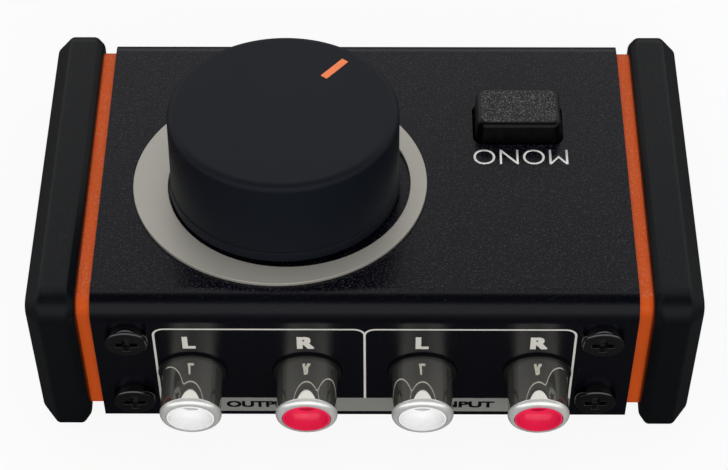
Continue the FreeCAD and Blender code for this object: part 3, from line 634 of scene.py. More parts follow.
# ------------------------------------------------------------------ finishes
@dataclass(frozen=True)
class Finish:
    """A surface finish: the shader's own settings, and how far each effect changes them.

    The tips of the grain take a lighter colour by a share: partly the grain's own tone, partly painted
    glints.
    Faces that lean away from an upward axis lose part of it, a painted top light. A range holds the factors
    between which patches change the finish's value.
    """

    name: str
    colour: Colour
    roughness: float
    metallic: float = 0.0
    specular: float = 0.5
    coat: float = 0.0
    coat_roughness: float = 0.1
    grain_size: float = 0.3 * MM
    grain_depth: float = 0.0
    crest_glint_colour: Colour | None = None
    crest_glint_share: float = 0.0
    side_glint_loss: float = 0.0
    glint_facing: Corner3 = (0.0, 0.0, 1.0)
    patch_size: float = 20 * MM
    patch_range: Corner = (0.94, 1.06)
    roughness_range: Corner = (0.95, 1.05)
    dust: float = 0.0
    dust_colour: Colour = (0.6, 0.6, 0.62)
    sheen_patch: ClassVar[float] = 0.6
    glint_facing_range: ClassVar[Corner] = (0.95, 0.995)

    def material(self) -> bpy.types.Material:
        """The finish as a material, made on first use."""
        found = bpy.data.materials.get(self.name)
        return found if found else self._build()

    def _build(self) -> bpy.types.Material:
        """Lay the nodes.

        Returns:
            The material.
        """
        made = bpy.data.materials.new(self.name)
        made.use_nodes = True
        made.diffuse_color = (*self.colour, 1.0)
        tree = made.node_tree
        shader = tree.nodes["Principled BSDF"]
        shader.inputs["Metallic"].default_value = self.metallic
        shader.inputs["Specular IOR Level"].default_value = self.specular
        shader.inputs["Coat Weight"].default_value = self.coat
        shader.inputs["Coat Roughness"].default_value = self.coat_roughness
        place = self.place(tree)
        colour = self.tone(tree, place)
        tree.links.new(colour, shader.inputs["Base Color"])
        low, high = (self.roughness * share for share in self.roughness_range)
        sheen = self.use(tree, Patches(), place, Size=self.patch_size * self.sheen_patch, Low=low,
                         High=high)
        tree.links.new(sheen.outputs["Value"], shader.inputs["Roughness"])
        self.relief(tree, place, shader)
        return made

    def place(self, tree: Tree) -> Signal:
        """Where on the object the finish is read."""
        return tree.nodes.new("ShaderNodeTexCoord").outputs["Object"]

    def use(self, tree: Tree, effect: Effect, place: Signal, **values: float) -> Node:
        """Put an effect into the material with its own values.

        Args:
            tree: The material's tree.
            effect: The effect.
            place: The point that it is read at.
            values: Numbers for its inputs.

        Returns:
            The group node.
        """
        node = tree.nodes.new("ShaderNodeGroup")
        node.node_tree = effect.tree()
        tree.links.new(place, node.inputs["Place"])
        for label, value in values.items():
            node.inputs[label].default_value = value
        return node

    def blend(self, tree: Tree, share: Signal, first: object, second: object) -> Signal:
        """Mix two colours by a mask.

        Args:
            tree: The material's tree.
            share: The mask.
            first: A colour or a socket.
            second: A colour or a socket.

        Returns:
            The mixed colour.
        """
        node = tree.nodes.new("ShaderNodeMix")
        node.data_type = "RGBA"
        tree.links.new(share, node.inputs[MIX_SHARE])
        for index, value in ((MIX_FIRST, first), (MIX_SECOND, second)):
            feed(tree, node.inputs[index], value if isinstance(value, Signal) else (*value, 1.0))
        return node.outputs[MIX_RESULT]

    def tone(self, tree: Tree, place: Signal) -> Signal:
        """The base colour with its patches, the painted glints on the grain's tips, and dust.

        Args:
            tree: The material's tree.
            place: The point that it is read at.

        Returns:
            The colour.
        """
        patches = self.use(tree, Patches(), place, Size=self.patch_size, Low=0.0, High=1.0)
        low, high = (tuple(channel * share for channel in self.colour) for share in self.patch_range)
        colour = self.blend(tree, patches.outputs["Value"], low, high)
        if self.crest_glint_colour:
            colour = self.blend(tree, self.crest_glints(tree, place), colour, self.crest_glint_colour)
        if self.dust:
            dust = self.use(tree, Dust(), place)
            share = math_node(tree, "MULTIPLY", dust.outputs["Mask"], self.dust)
            colour = self.blend(tree, share, colour, self.dust_colour)
        return colour

    def crest_glints(self, tree: Tree, place: Signal) -> Signal:
        """How much of the lighter tip colour shows: painted glints on the grain's tips, strongest on faces
        that look up along the given axis, toward the light.

        Args:
            tree: The material's tree.
            place: The point that it is read at.

        Returns:
            Its share, from 0 to 1.
        """
        grain = self.use(tree, Grain(), place, Size=self.grain_size)
        # Painted top light: the glints fade on faces that lean away from the upward axis.
        facing = tree.nodes.new("ShaderNodeVectorMath")
        facing.operation = "DOT_PRODUCT"
        facing.inputs[1].default_value = self.glint_facing
        tree.links.new(tree.nodes.new("ShaderNodeTexCoord").outputs["Normal"], facing.inputs[0])
        aside = self.crest_glint_share * (1 - self.side_glint_loss)
        share = remap(tree, facing.outputs["Value"], *self.glint_facing_range, aside, self.crest_glint_share)
        return math_node(tree, "MULTIPLY", grain.outputs["Crest Glints"], share)

    def relief(self, tree: Tree, place: Signal, shader: Node) -> None:
        """The grain as a bump.

        Args:
            tree: The material's tree.
            place: The point that it is read at.
            shader: The Principled BSDF.
        """
        if self.grain_depth:
            grain = self.use(tree, Grain(), place, Size=self.grain_size)
            self.bump(tree, grain.outputs["Height"], self.grain_depth, shader)

    def bump(self, tree: Tree, height: Signal, depth: float, shader: Node) -> None:
        """Feed a height to the shader's normal.

        Args:
            tree: The material's tree.
            height: The height, from 0 to 1.
            depth: The length that 1 stands for.
            shader: The Principled BSDF.
        """
        node = tree.nodes.new("ShaderNodeBump")
        node.inputs["Strength"].default_value = 1.0
        node.inputs["Distance"].default_value = depth
        tree.links.new(height, node.inputs["Height"])
        tree.links.new(node.outputs["Normal"], shader.inputs["Normal"])


@dataclass(frozen=True)
class TurnedFinish(Finish):
    """A metal finish with fine lines round its own axis."""

    centre: Corner3 = (0.0, 0.0, 0.0)
    turn: Corner3 = (0.0, 0.0, 0.0)
    line_spacing: float = 0.08 * MM
    line_depth: float = 0.001 * MM

    def place(self, tree: Tree) -> Signal:
        """The object's own place, centred on the axis.

        Args:
            tree: The material's tree.

        Returns:
            The point.
        """
        mapping = tree.nodes.new("ShaderNodeMapping")
        mapping.vector_type = "TEXTURE"
        mapping.inputs["Location"].default_value = self.centre
        mapping.inputs["Rotation"].default_value = self.turn
        tree.links.new(tree.nodes.new("ShaderNodeTexCoord").outputs["Object"], mapping.inputs["Vector"])
        return mapping.outputs["Vector"]

    def relief(self, tree: Tree, place: Signal, shader: Node) -> None:
        """The lines as a bump.

        Args:
            tree: The material's tree.
            place: The point that it is read at.
            shader: The Principled BSDF.
        """
        lines = self.use(tree, Scratches(), place, Spacing=self.line_spacing)
        self.bump(tree, lines.outputs["Height"], self.line_depth, shader)


class Palette:
    """Every finish on the unit, by the record's slot names, and the rims and print, which have no node."""

    def __init__(self, layout: "Layout") -> None:
        """Make the finishes.

        Args:
            layout: Where the knob, the button and the slope are.
        """
        leaned = (layout.slope, 0.0, 0.0)
        centre = tuple(layout.knob.place.translation)
        up = tuple(layout.knob.place.col[2].xyz)
        # The lighter tips of the grain below are painted glints, full on faces that look up the knob's axis
        # and mostly gone on the sides: a painted top light.
        powder = dict(grain_size=0.25 * MM, grain_depth=0.018 * MM, crest_glint_share=0.9, side_glint_loss=0.85,
                      glint_facing=up, crest_glint_colour=(0.04, 0.039, 0.05), patch_range=(0.85, 1.15), dust=0.12)
        moulded = dict(grain_size=0.22 * MM, grain_depth=0.012 * MM, dust=0.1)
        self.finishes = {
            "cover_black": Finish("powder_coat_black", (0.0009, 0.0011, 0.0028), 0.22, specular=0.22,
                                  **powder),
            "panel_orange": Finish("powder_coat_orange", (0.6, 0.076, 0.002), 0.38, specular=0.2,
                                   grain_size=0.26 * MM, grain_depth=0.02 * MM, crest_glint_share=0.8,
                                   side_glint_loss=0.8, glint_facing=up, crest_glint_colour=(0.72, 0.27, 0.16)),
            "cheek_black": Finish("moulded_cheek", (0.0014, 0.0021, 0.003), 0.36, specular=0.18,
                                  crest_glint_share=0.7, side_glint_loss=0.7, glint_facing=up,
                                  crest_glint_colour=(0.022, 0.023, 0.026), **moulded),
            "screw_black": Finish("black_nickel", (0.1, 0.102, 0.108), 0.12, metallic=1.0,
                                  grain_size=0.4 * MM, grain_depth=0.006 * MM),
            "zinc_steel": Finish("zinc_plate", (0.6, 0.6, 0.58), 0.34, metallic=1.0, grain_size=0.1 * MM,
                                 grain_depth=0.003 * MM),
            "knob_black": TurnedFinish("knob_satin", (0.0022, 0.0038, 0.0075), 0.52, specular=0.22,
                                       centre=centre, turn=leaned, line_spacing=0.12 * MM,
                                       line_depth=0.0012 * MM, dust=0.12),
            "pointer_orange": Finish("pointer_inlay", (0.85, 0.2, 0.06), 0.35, coat=0.2,
                                     grain_size=0.2 * MM, grain_depth=0.004 * MM),
            # The ring's lighter grain tips are partly the blasted metal's own tone, partly painted sparkle
            # glints.
            "ring_silver": Finish("blasted_aluminium", (0.455, 0.435, 0.39), 0.42, metallic=0.5,
                                  grain_size=0.12 * MM, grain_depth=0.006 * MM, crest_glint_share=0.3,
                                  crest_glint_colour=(0.53, 0.51, 0.46), patch_range=(0.97, 1.03)),
            # The cap's top is painted lighter than its black sides: painted glints on the grain's tips, on
            # the top face alone.
            "cap_black": Finish("cap_grain_painted_top_glint", (0.0003, 0.0003, 0.0005), 0.28, specular=0.25,
                                grain_size=0.22 * MM, grain_depth=0.04 * MM, crest_glint_share=0.9,
                                side_glint_loss=1.0, glint_facing=up, crest_glint_colour=(0.24, 0.245, 0.26)),
            "shell_nickel": Finish("bright_nickel", (0.74, 0.725, 0.66), 0.035, metallic=0.945,
                                   roughness_range=(0.7, 1.6), grain_size=0.6 * MM, grain_depth=0.0003 * MM,
                                   patch_size=3 * MM, patch_range=(0.97, 1.02)),
            "insulator_white": Finish("insulator_white", (0.97, 0.97, 0.96), 0.24, coat=0.2,
                                      grain_size=0.8 * MM, grain_depth=0.002 * MM, patch_range=(0.98, 1.0)),
            "insulator_red": Finish("insulator_red", (0.8, 0.0002, 0.004), 0.16, specular=0.2, coat=0.08,
                                    grain_size=0.8 * MM, grain_depth=0.002 * MM),
            "block_black": Finish("block_moulding", (0.004, 0.004, 0.0045), 0.45, specular=0.3, **moulded),
            "contact_brass": Finish("plated_brass", (0.72, 0.55, 0.28), 0.25, metallic=1.0,
                                    grain_size=0.1 * MM, grain_depth=0.002 * MM),
            "board_green": Finish("solder_mask", (0.012, 0.11, 0.045), 0.3, coat=0.4, grain_size=0.9 * MM,
                                  grain_depth=0.006 * MM, patch_size=4 * MM, patch_range=(0.8, 1.15)),
            "header_black": Finish("header_moulding", (0.008, 0.008, 0.009), 0.45, **moulded),
            "resistor_blue": Finish("resistor_lacquer", (0.06, 0.2, 0.4), 0.3, coat=0.5, grain_size=0.5 * MM,
                                    grain_depth=0.01 * MM, patch_size=1.5 * MM, patch_range=(0.8, 1.2)),
            "pot_steel": TurnedFinish("pressed_steel", (0.56, 0.56, 0.55), 0.32, metallic=1.0, centre=centre,
                                      turn=leaned),
            "track_brown": Finish("phenolic", (0.1, 0.05, 0.025), 0.5, grain_size=0.2 * MM,
                                  grain_depth=0.008 * MM, patch_size=2 * MM, patch_range=(0.8, 1.2)),
            "wiper_white": Finish("wiper_moulding", (0.75, 0.73, 0.68), 0.45, **moulded),
            "switch_grey": Finish("switch_moulding", (0.12, 0.12, 0.13), 0.45, **moulded),
        }
        self.satin_nickel = Finish("satin_nickel", (0.96, 0.955, 0.93), 0.24, metallic=0.6,
                                   grain_depth=0.004 * MM, patch_size=2 * MM, patch_range=(0.9, 1.05))
        ink = dict(grain_size=0.25 * MM, grain_depth=0.006 * MM, specular=0.2)
        self.letter_print = Finish("letter_print", (0.6, 0.58, 0.535), 0.5, patch_range=(0.95, 1.04), **ink)
        self.band_print = Finish("band_print", (0.2, 0.202, 0.185), 0.5, patch_range=(0.96, 1.03), **ink)
        self.dark_print = Finish("dark_print", (0.001, 0.001, 0.0012), 0.5, **ink)
        self.white_print = Finish("white_print", (0.66, 0.66, 0.64), 0.5, **ink)

    def __getitem__(self, slot: str) -> bpy.types.Material:
        """The material of a slot."""
        return self.finishes[slot].material()


# ------------------------------------------------------------------ places
@dataclass(frozen=True)
class Seat:
    """A place on the unit with axes of its own: pieces are built about the origin and set down here."""

    place: Matrix

    @staticmethod
    def at(point: Vector, turn: Matrix) -> "Seat":
        """A seat at a point, turned."""
        return Seat(Matrix.Translation(point) @ turn)

    def moved(self, x: float, y: float = 0.0, z: float = 0.0) -> "Seat":
        """A seat shifted along its own axes."""
        return Seat(self.place @ Matrix.Translation((x, y, z)))

    def turned_by(self, angle: float) -> "Seat":
        """A seat turned about its own upright axis, by an angle in radians."""
        return Seat(self.place @ Matrix.Rotation(angle, 4, "Z"))

    def extent(self, node: Piece) -> tuple[Vector, Vector]:
        """A CAD node's box along the seat's axes.

        Args:
            node: The node.

        Returns:
            Its lowest and highest corners.
        """
        inverse = self.place.inverted()
        return span(inverse @ vertex.co for vertex in node.data.vertices)


class Layout:
    """Where things are on the unit, read from the frame."""

    SOCKETS = ("output_left", "output_right", "input_left", "input_right")
    REAR_SCREWS = ("rear_screw_right_low", "rear_screw_right_high", "rear_screw_left_low",
                   "rear_screw_left_high")
    FOOT_SCREWS = ("bottom_screw_right_rear", "bottom_screw_right_front", "bottom_screw_left_rear",
                   "bottom_screw_left_front")

    def __init__(self, frame: dict) -> None:
        """Read the axes from the joints and the faces from the nodes' boxes.
        """
        self.nodes: dict[str, Piece] = frame["nodes"]
        joints = {joint["name"]: joint for joint in frame["joints"]}
        down = Vector(joints["knob_turn"]["axis"])
        self.slope = math.atan2(down.y, -down.z)
        lean = Matrix.Rotation(self.slope, 4, "X")
        self.knob = Seat.at(Vector(joints["knob_turn"]["pos_m"]), lean)
        self.button = Seat.at(Vector(joints["mono_press"]["pos_m"]), lean)
        self.button_travel = joints["mono_press"]["range_m"][1]
        self.rear_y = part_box("top_cover")[1].y
        self.base_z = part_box("bottom_plate")[0].z

    def top_z(self, y: float) -> float:
        """How high the plane of the cover's flat top lies.

        Args:
            y: A place along Y.

        Returns:
            The plane's height there.
        """
        point = self.knob.place.translation
        return point.z + (y - point.y) * math.tan(self.slope)

    def socket(self, name: str) -> Seat:
        """The seat on a socket's axis, on the rear face, its Z pointing out.

        Args:
            name: The socket.

        Returns:
            The seat.
        """
        low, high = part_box(f"{name}_insulator")
        return Seat.at(Vector(((low.x + high.x) / 2, self.rear_y, (low.z + high.z) / 2)), Axis.REAR.matrix())

    def screw(self, name: str, turn: Axis) -> Seat:
        """The seat of a screw's head, its Z pointing out of the panel that it lies on.

        Args:
            name: The screw's CAD node.
            turn: Which way its head points.

        Returns:
            The seat.
        """
        low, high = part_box(name)
        middle = (low + high) / 2
        if turn is Axis.REAR:
            return Seat.at(Vector((middle.x, self.rear_y, middle.z)), turn.matrix())
        return Seat.at(Vector((middle.x, middle.y, self.base_z)), turn.matrix())


# ------------------------------------------------------------------ the unit's pieces
@dataclass
class Cheeks:
    """The two moulded side cheeks with their wide outer bevel."""

    layout: Layout
    palette: Palette
    corner: float = 3.5 * MM
    foot_corner: float = 0.8 * MM
    bevel: float = 2.0 * MM
    inner_bevel: float = 1.1 * MM
    edge_round: float = 0.35 * MM
    corner_faces: int = 12
    foot_faces: int = 4

    def build(self) -> None:
        """Model the cheek on each side."""
        for side, sign in (("right", 1), ("left", -1)):
            piece = self.model(f"cheek_moulding_{side}", f"cheek_{side}", sign)
            mount_piece(piece, "housing", self.palette["cheek_black"], [f"cheek_{side}"])

    def model(self, name: str, node: str, sign: int) -> Piece:
        """Shape a block: slope its top, round its corners and bevel its rims.

        Args:
            name: The piece's name.
            node: The CAD node that it stands for.
            sign: 1 on the right, -1 on the left.

        Returns:
            The cheek.
        """
        low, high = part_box(node)
        overhang = high.y - self.layout.rear_y
        lift = overhang / math.cos(self.layout.slope)
        rear_top = self.layout.top_z(high.y) + lift
        front_top = self.layout.top_z(low.y) + lift
        piece = block(name, low, (high.x, high.y, rear_top))
        edit(piece)
        pick(piece, Element.EDGES, lambda m: near(m.y, low.y) and near(m.z, rear_top))
        bpy.ops.transform.translate(value=(0, 0, front_top - rear_top))
        finish_edit()
        for y, top, opening in ((high.y, rear_top, math.pi / 2 - self.layout.slope),
                                (low.y, front_top, math.pi / 2 + self.layout.slope)):
            reach = self.corner / math.tan(opening / 2)
            round_edges(piece, lambda m: near(m.y, y) and near(m.z, top), reach, self.corner_faces)
        outer, inner = (high.x, low.x) if sign > 0 else (low.x, high.x)
        round_edges(piece, lambda m: near(m.x, outer), self.bevel, segments=1)
        round_edges(piece, lambda m: near(m.x, inner), self.inner_bevel, segments=1)
        round_edges(piece, lambda m: m.z < low.z + self.bevel
                    and near(m.z - low.z, min(high.y - m.y, m.y - low.y)), self.foot_corner, self.foot_faces)
        soften(piece, self.edge_round)
        smooth(piece)
        return piece


@dataclass
class Knob:
    """The volume knob: a cup on a flange, and the inlaid line on its top."""

    layout: Layout
    palette: Palette
    wall: float = 1.8 * MM
    skirt_height: float = 1.5 * MM
    skirt_width: float = 0.5 * MM
    skirt_flare: float = 0.14 * MM
    boss_wall: float = 1.6 * MM
    top_round: float = 1.1 * MM
    skirt_round: float = 0.12 * MM
    pointer_angle: float = 39.0
    pointer_round: float = 0.12 * MM
    gap: float = 0.02 * MM
    overcut: float = 1.0 * MM
    segments: int = 192

    def build(self) -> None:
        """Model the knob and its line."""
        seat = self.layout.knob
        low, high = seat.extent(self.layout.nodes["knob_shell"])
        hub_low, hub_high = seat.extent(self.layout.nodes["knob_hub"])
        radius = high.x - self.skirt_width
        skirt = radius + self.skirt_flare
        step = low.z + self.skirt_height
        bore = hub_high.x + self.gap
        boss = hub_high.x + self.boss_wall
        ceiling = hub_high.z
        knob = turned("knob_cup", [
            (0, ceiling), (bore, ceiling), (bore, hub_low.z), (boss, hub_low.z), (boss, ceiling),
            (radius - self.wall, ceiling), (radius - self.wall, low.z), (skirt, low.z), (skirt, step),
            (radius, step), (radius, high.z), (0, high.z)], self.segments)
        round_edges(knob, self.ring_test(radius, high.z), self.top_round, segments=8)
        round_edges(knob, self.ring_test(skirt, step), self.skirt_round, segments=4)
        round_edges(knob, self.ring_test(skirt, low.z), self.skirt_round / 2, segments=3)
        aim = seat.turned_by(-math.radians(self.pointer_angle))
        line_low, line_high = aim.extent(self.layout.nodes["knob_pointer"])
        carve(knob, self.slot(line_low, line_high))
        smooth(knob)
        set_down(knob, seat.place)
        mount_piece(knob, "knob", self.palette["knob_black"], ["knob_shell"])
        line = block("knob_line", line_low, line_high)
        soften(line, self.pointer_round)
        smooth(line)
        set_down(line, aim.place)
        mount_piece(line, "knob", self.palette["pointer_orange"], ["knob_pointer"])

    def slot(self, low: Vector, high: Vector) -> Piece:
        """The tool that cuts the line's slot, turned to where the line points.

        Args:
            low: The line's lowest corner, along its own axes.
            high: Its highest corner.

        Returns:
            The tool.
        """
        room = Vector((self.gap, self.gap, 0))
        tool = block("pointer_slot", low - room, high + room + Vector((0, 0, self.overcut)))
        return set_down(tool, Matrix.Rotation(-math.radians(self.pointer_angle), 4, "Z"))

    @staticmethod
    def ring_test(radius: float, height: float) -> PointTest:
        """Test for the edges of the round at this radius and height."""
        return lambda m: near(math.hypot(m.x, m.y), radius) and near(m.z, height)


@dataclass
class TrimRing:
    """The flat ring round the knob, its opening a little off centre."""

    layout: Layout
    palette: Palette
    opening: float = 16.5 * MM
    opening_shift: Corner = (-1.25 * MM, 0.3 * MM)
    cut_height: float = 4.0 * MM
    edge_round: float = 0.07 * MM
    segments: int = 192

    def build(self) -> None:
        """Turn the disc, cut its opening and break its edges."""
        low, high = self.layout.knob.extent(self.layout.nodes["trim_ring"])
        seat = self.layout.knob.moved((low.x + high.x) / 2, (low.y + high.y) / 2)
        radius = (high.x - low.x) / 2
        ring = turned("trim_disc", [(0, low.z), (radius, low.z), (radius, high.z), (0, high.z)],
                      self.segments)
        clear_selection()
        bpy.ops.mesh.primitive_cylinder_add(vertices=self.segments, radius=self.opening,
                                            depth=self.cut_height, location=(*self.opening_shift, 0))
        carve(ring, fix_place(bpy.context.object, "opening_tool"))
        soften(ring, self.edge_round)
        smooth(ring)
        set_down(ring, seat.place)
        mount_piece(ring, "housing", self.palette["ring_silver"], ["trim_ring"])


@dataclass
class Button:
    """The mono button: a cap with a rounded top, and the lip that keeps it under the cover."""

    layout: Layout
    palette: Palette
    corner: float = 1.4 * MM
    top_round: float = 0.75 * MM
    lip_width: float = 0.6 * MM
    lip_thick: float = 0.9 * MM
    lip_margin: float = 0.1 * MM
    edge_round: float = 0.14 * MM
    round_from: float = 60.0
    sharp_from: float = 50.0
    taper: Corner = (0.35 * MM, 0.2 * MM)

    def build(self) -> None:
        """Model the cap upright, then set it down on its axis."""
        seat = self.layout.button
        low, high = seat.extent(self.layout.nodes["mono_cap"])
        lip = Vector((self.lip_width, self.lip_width, 0))
        body_low, body_high = low + lip, high - lip
        lip_top = low.z + self.lip_thick
        cap = block("mono_button_cap", (*body_low.xy, lip_top), (*body_high.xy, high.z))
        side, front = self.taper
        edit(cap)
        pick(cap, Element.FACES, lambda m: near(m.z, high.z))
        bpy.ops.transform.resize(value=(1 - side / body_high.x, 1 - front / body_high.y, 1),
                                 center_override=(0, 0, high.z))
        finish_edit()
        round_edges(cap, lambda m: abs(m.x) > body_high.x - side and abs(m.y) > body_high.y - front,
                    self.corner, segments=8)
        round_edges(cap, lambda m: near(m.z, high.z), self.top_round, segments=6)
        edit(cap)
        pick(cap, Element.FACES, lambda m: near(m.z, lip_top))
        bpy.ops.mesh.extrude_region_move(TRANSFORM_OT_translate={"value": (0, 0, -self.lip_thick)})
        pick(cap, Element.FACES, lambda m: low.z + self.lip_margin < m.z < lip_top - self.lip_margin)
        bpy.ops.mesh.extrude_region_shrink_fatten(TRANSFORM_OT_shrink_fatten={"value": self.lip_width})
        finish_edit()
        soften(cap, self.edge_round, self.round_from)
        smooth(cap, self.sharp_from)
        set_down(cap, seat.place)
        mount_piece(cap, "mono_button", self.palette["cap_black"], ["mono_cap"])


@dataclass
class ReturnSpring:
    """The spring under the button's plunger."""

    layout: Layout
    palette: Palette

    def build(self) -> None:
        """Take the coil over from the frame."""
        seat = self.layout.button
        node = self.layout.nodes["switch_spring"]
        low, high = seat.extent(node)
        coil = bpy.data.objects.new("return_coil", node.data.copy())
        bpy.context.scene.collection.objects.link(coil)
        edit(coil)
        finish_edit()
        smooth(coil)
        mount_piece(coil, "housing", self.palette["zinc_steel"], ["switch_spring"])
        tuple(seat.place.col[2].xyz)
        tuple(seat.place @ Vector((0, 0, low.z)))
        1 - self.layout.button_travel / (high.z - low.z)
        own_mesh(coil)


@dataclass
class Screws:
    """The black screws on the rear and under the unit: round heads with a tapered cross recess."""

    layout: Layout
    palette: Palette
    shank: float = 1.5 * MM
    length: float = 7 * MM
    head: float = 2.85 * MM
    pan_height: float = 1.35 * MM
    wafer_height: float = 0.8 * MM
    edge_round: float = 0.38 * MM
    edge_steps: int = 6
    tip_radius: float = 0.7
    tip_length: float = 0.4
    recess_span: float = 3.3 * MM
    recess_width: float = 1.1 * MM
    recess_depth: float = 1.0 * MM
    recess_taper: Corner = (0.8, 0.6)
    recess_round: float = 0.12 * MM
    overcut: float = 0.3 * MM
    round_from: float = 38.0
    sharp_from: float = 40.0
    segments: int = 96

    def build(self) -> None:
        """Model one pan head and one flat head, and set copies of them down on their seats."""
        kinds = ((self.layout.REAR_SCREWS, Axis.REAR, self.pan_height),
                 (self.layout.FOOT_SCREWS, Axis.DOWN, self.wafer_height))
        for names, turn, height in kinds:
            pattern = self.model("screw_pattern", height)
            for name in names:
                screw = set_down(copy_of(pattern, f"{name}_head"), self.layout.screw(name, turn).place)
                mount_piece(screw, "housing", self.palette["screw_black"], [name])
            bpy.data.objects.remove(pattern, do_unlink=True)

    def model(self, name: str, height: float) -> Piece:
        """Turn the screw, its head a low dome, and cut the recess.

        Args:
            name: The piece's name.
            height: The head's height.

        Returns:
            The screw, its head's seat at the origin.
        """
        side = height - self.edge_round
        edge = [(self.head - self.edge_round * (1 - math.cos(turn)), side + self.edge_round * math.sin(turn))
                for turn in quarter_turn(self.edge_steps)]
        tip = [(0, -self.length), (self.shank * self.tip_radius, -self.length),
               (self.shank, -self.length + self.shank * self.tip_length)]
        screw = turned(name, [*tip, (self.shank, 0), (self.head, 0), *edge, (0, height)], self.segments)
        for angle in (0.0, math.pi / 2):
            carve(screw, self.wing(height, angle))
        soften(screw, self.recess_round, self.round_from)
        smooth(screw, self.sharp_from)
        return screw

    def wing(self, height: float, angle: float) -> Piece:
        """One bar of the cross, narrower at its foot, as the tool that cuts it.

        Args:
            height: The head's height.
            angle: Which way it lies, in radians.

        Returns:
            The tool.
        """
        half_span, half_width = self.recess_span / 2, self.recess_width / 2
        foot = height - self.recess_depth
        bar = block("wing", (-half_span, -half_width, foot), (half_span, half_width, height + self.overcut))
        edit(bar)
        pick(bar, Element.FACES, lambda m: near(m.z, foot))
        bpy.ops.transform.resize(value=(*self.recess_taper, 1), center_override=(0, 0, foot))
        finish_edit()
        return set_down(bar, Matrix.Rotation(angle, 4, "Z"))


@dataclass
class Sockets:
    """The four phono sockets: nickel shell with a rolled mouth, dished insulator and collar."""

    layout: Layout
    palette: Palette
    barrel: float = 4.15 * MM
    neck: float = 3.95 * MM
    bore: float = 3.3 * MM
    embed: float = 4.0 * MM
    collar: float = 0.35 * MM
    reach: float = 7.4 * MM
    rim_width: float = 0.75 * MM
    rim_depth: float = 0.85 * MM
    rim_step: float = 0.1 * MM
    ring_gap: float = 0.09 * MM
    dish_rim: float = 0.25 * MM
    dish_depth: float = 2.2 * MM
    dish_chamfer: Corner = (0.05 * MM, 0.04 * MM)
    mouth: float = 1.62 * MM
    mouth_depth: float = 3.2 * MM
    seat_radius: float = 1.98 * MM
    rim_steps: int = 10
    dish_steps: int = 8
    sharp_from: float = 40.0
    rim_sharp_from: float = 50.0
    segments: int = 160

    def build(self) -> None:
        """Model one shell and one insulator, and give each socket its copies."""
        shell, rim, insulator = self.model_shell(), self.model_rim(), self.model_insulator()
        for name in self.layout.SOCKETS:
            seat = self.layout.socket(name)
            tint = "insulator_white" if name.endswith("left") else "insulator_red"
            for pattern, label, material, slot, replaced in (
                    (shell, "sleeve", self.palette["shell_nickel"], "shell_nickel", [f"{name}_shell"]),
                    (rim, "rim", self.palette.satin_nickel.material(), "shell_nickel", []),
                    (insulator, "dish", self.palette[tint], tint, [f"{name}_insulator"])):
                piece = set_down(copy_of(pattern, f"{name}_{label}"), seat.place)
                mount_piece(piece, "housing", material, replaced)
        for pattern in (shell, rim, insulator):
            bpy.data.objects.remove(pattern, do_unlink=True)

    def model_shell(self) -> Piece:
        """Turn the shell's straight barrel, up to the groove behind its rim.

        Returns:
            The barrel.
        """
        groove = self.reach - self.rim_depth
        barrel = self.barrel - self.rim_step
        shell = turned("shell_pattern", [(self.bore, -self.embed), (self.neck, -self.embed),
                                         (self.neck, self.collar), (barrel, self.collar), (barrel, groove),
                                         (self.bore, groove)], self.segments)
        smooth(shell, self.sharp_from)
        return shell

    def model_rim(self) -> Piece:
        """Turn the shell's rim, rolled inwards in a soft curve.

        Returns:
            The rim.
        """
        groove = self.reach - self.rim_depth
        mouth = self.barrel - self.rim_width
        rolled = [(mouth + self.rim_width * math.cos(turn), groove + self.rim_depth * math.sin(turn))
                  for turn in quarter_turn(self.rim_steps)]
        rim = turned("rim_pattern", [(self.bore, groove), (self.barrel - self.rim_step, groove), *rolled,
                                     (self.bore, self.reach)], self.segments)
        smooth(rim, self.rim_sharp_from)
        return rim

    def model_insulator(self) -> Piece:
        """Turn the insulator, dished down to the hole for the plug's pin.

        Returns:
            The insulator.
        """
        outer = self.bore - self.ring_gap
        lip = outer - self.dish_rim
        inset, drop = self.dish_chamfer
        dish = [(self.mouth + (lip - self.mouth) * math.cos(turn),
                 self.reach - self.dish_depth * math.sin(turn)) for turn in quarter_turn(self.dish_steps)]
        insulator = turned("insulator_pattern", [
            (self.seat_radius, -self.embed), (outer, -self.embed), (outer, self.reach - drop),
            (outer - inset, self.reach), *dish, (self.mouth, self.reach - self.mouth_depth),
            (self.seat_radius, self.reach - self.mouth_depth)], self.segments)
        smooth(insulator, self.sharp_from)
        return insulator


class Face(Enum):
    """The face that a print lies on, each with a slot name from the record."""

    REAR = "ring_silver"
    TOP = "wiper_white"


@dataclass(frozen=True)
class Lettering:
    """A word with its real width and height.

    Its strokes are made bolder along X and Y by laying shifted copies over it, or thinner by moving its
    outline in, as a share of the typeface's height.
    """

    text: str
    width: float
    height: float
    bolder: Corner = (0.0, 0.0)
    outline: float = 0.0


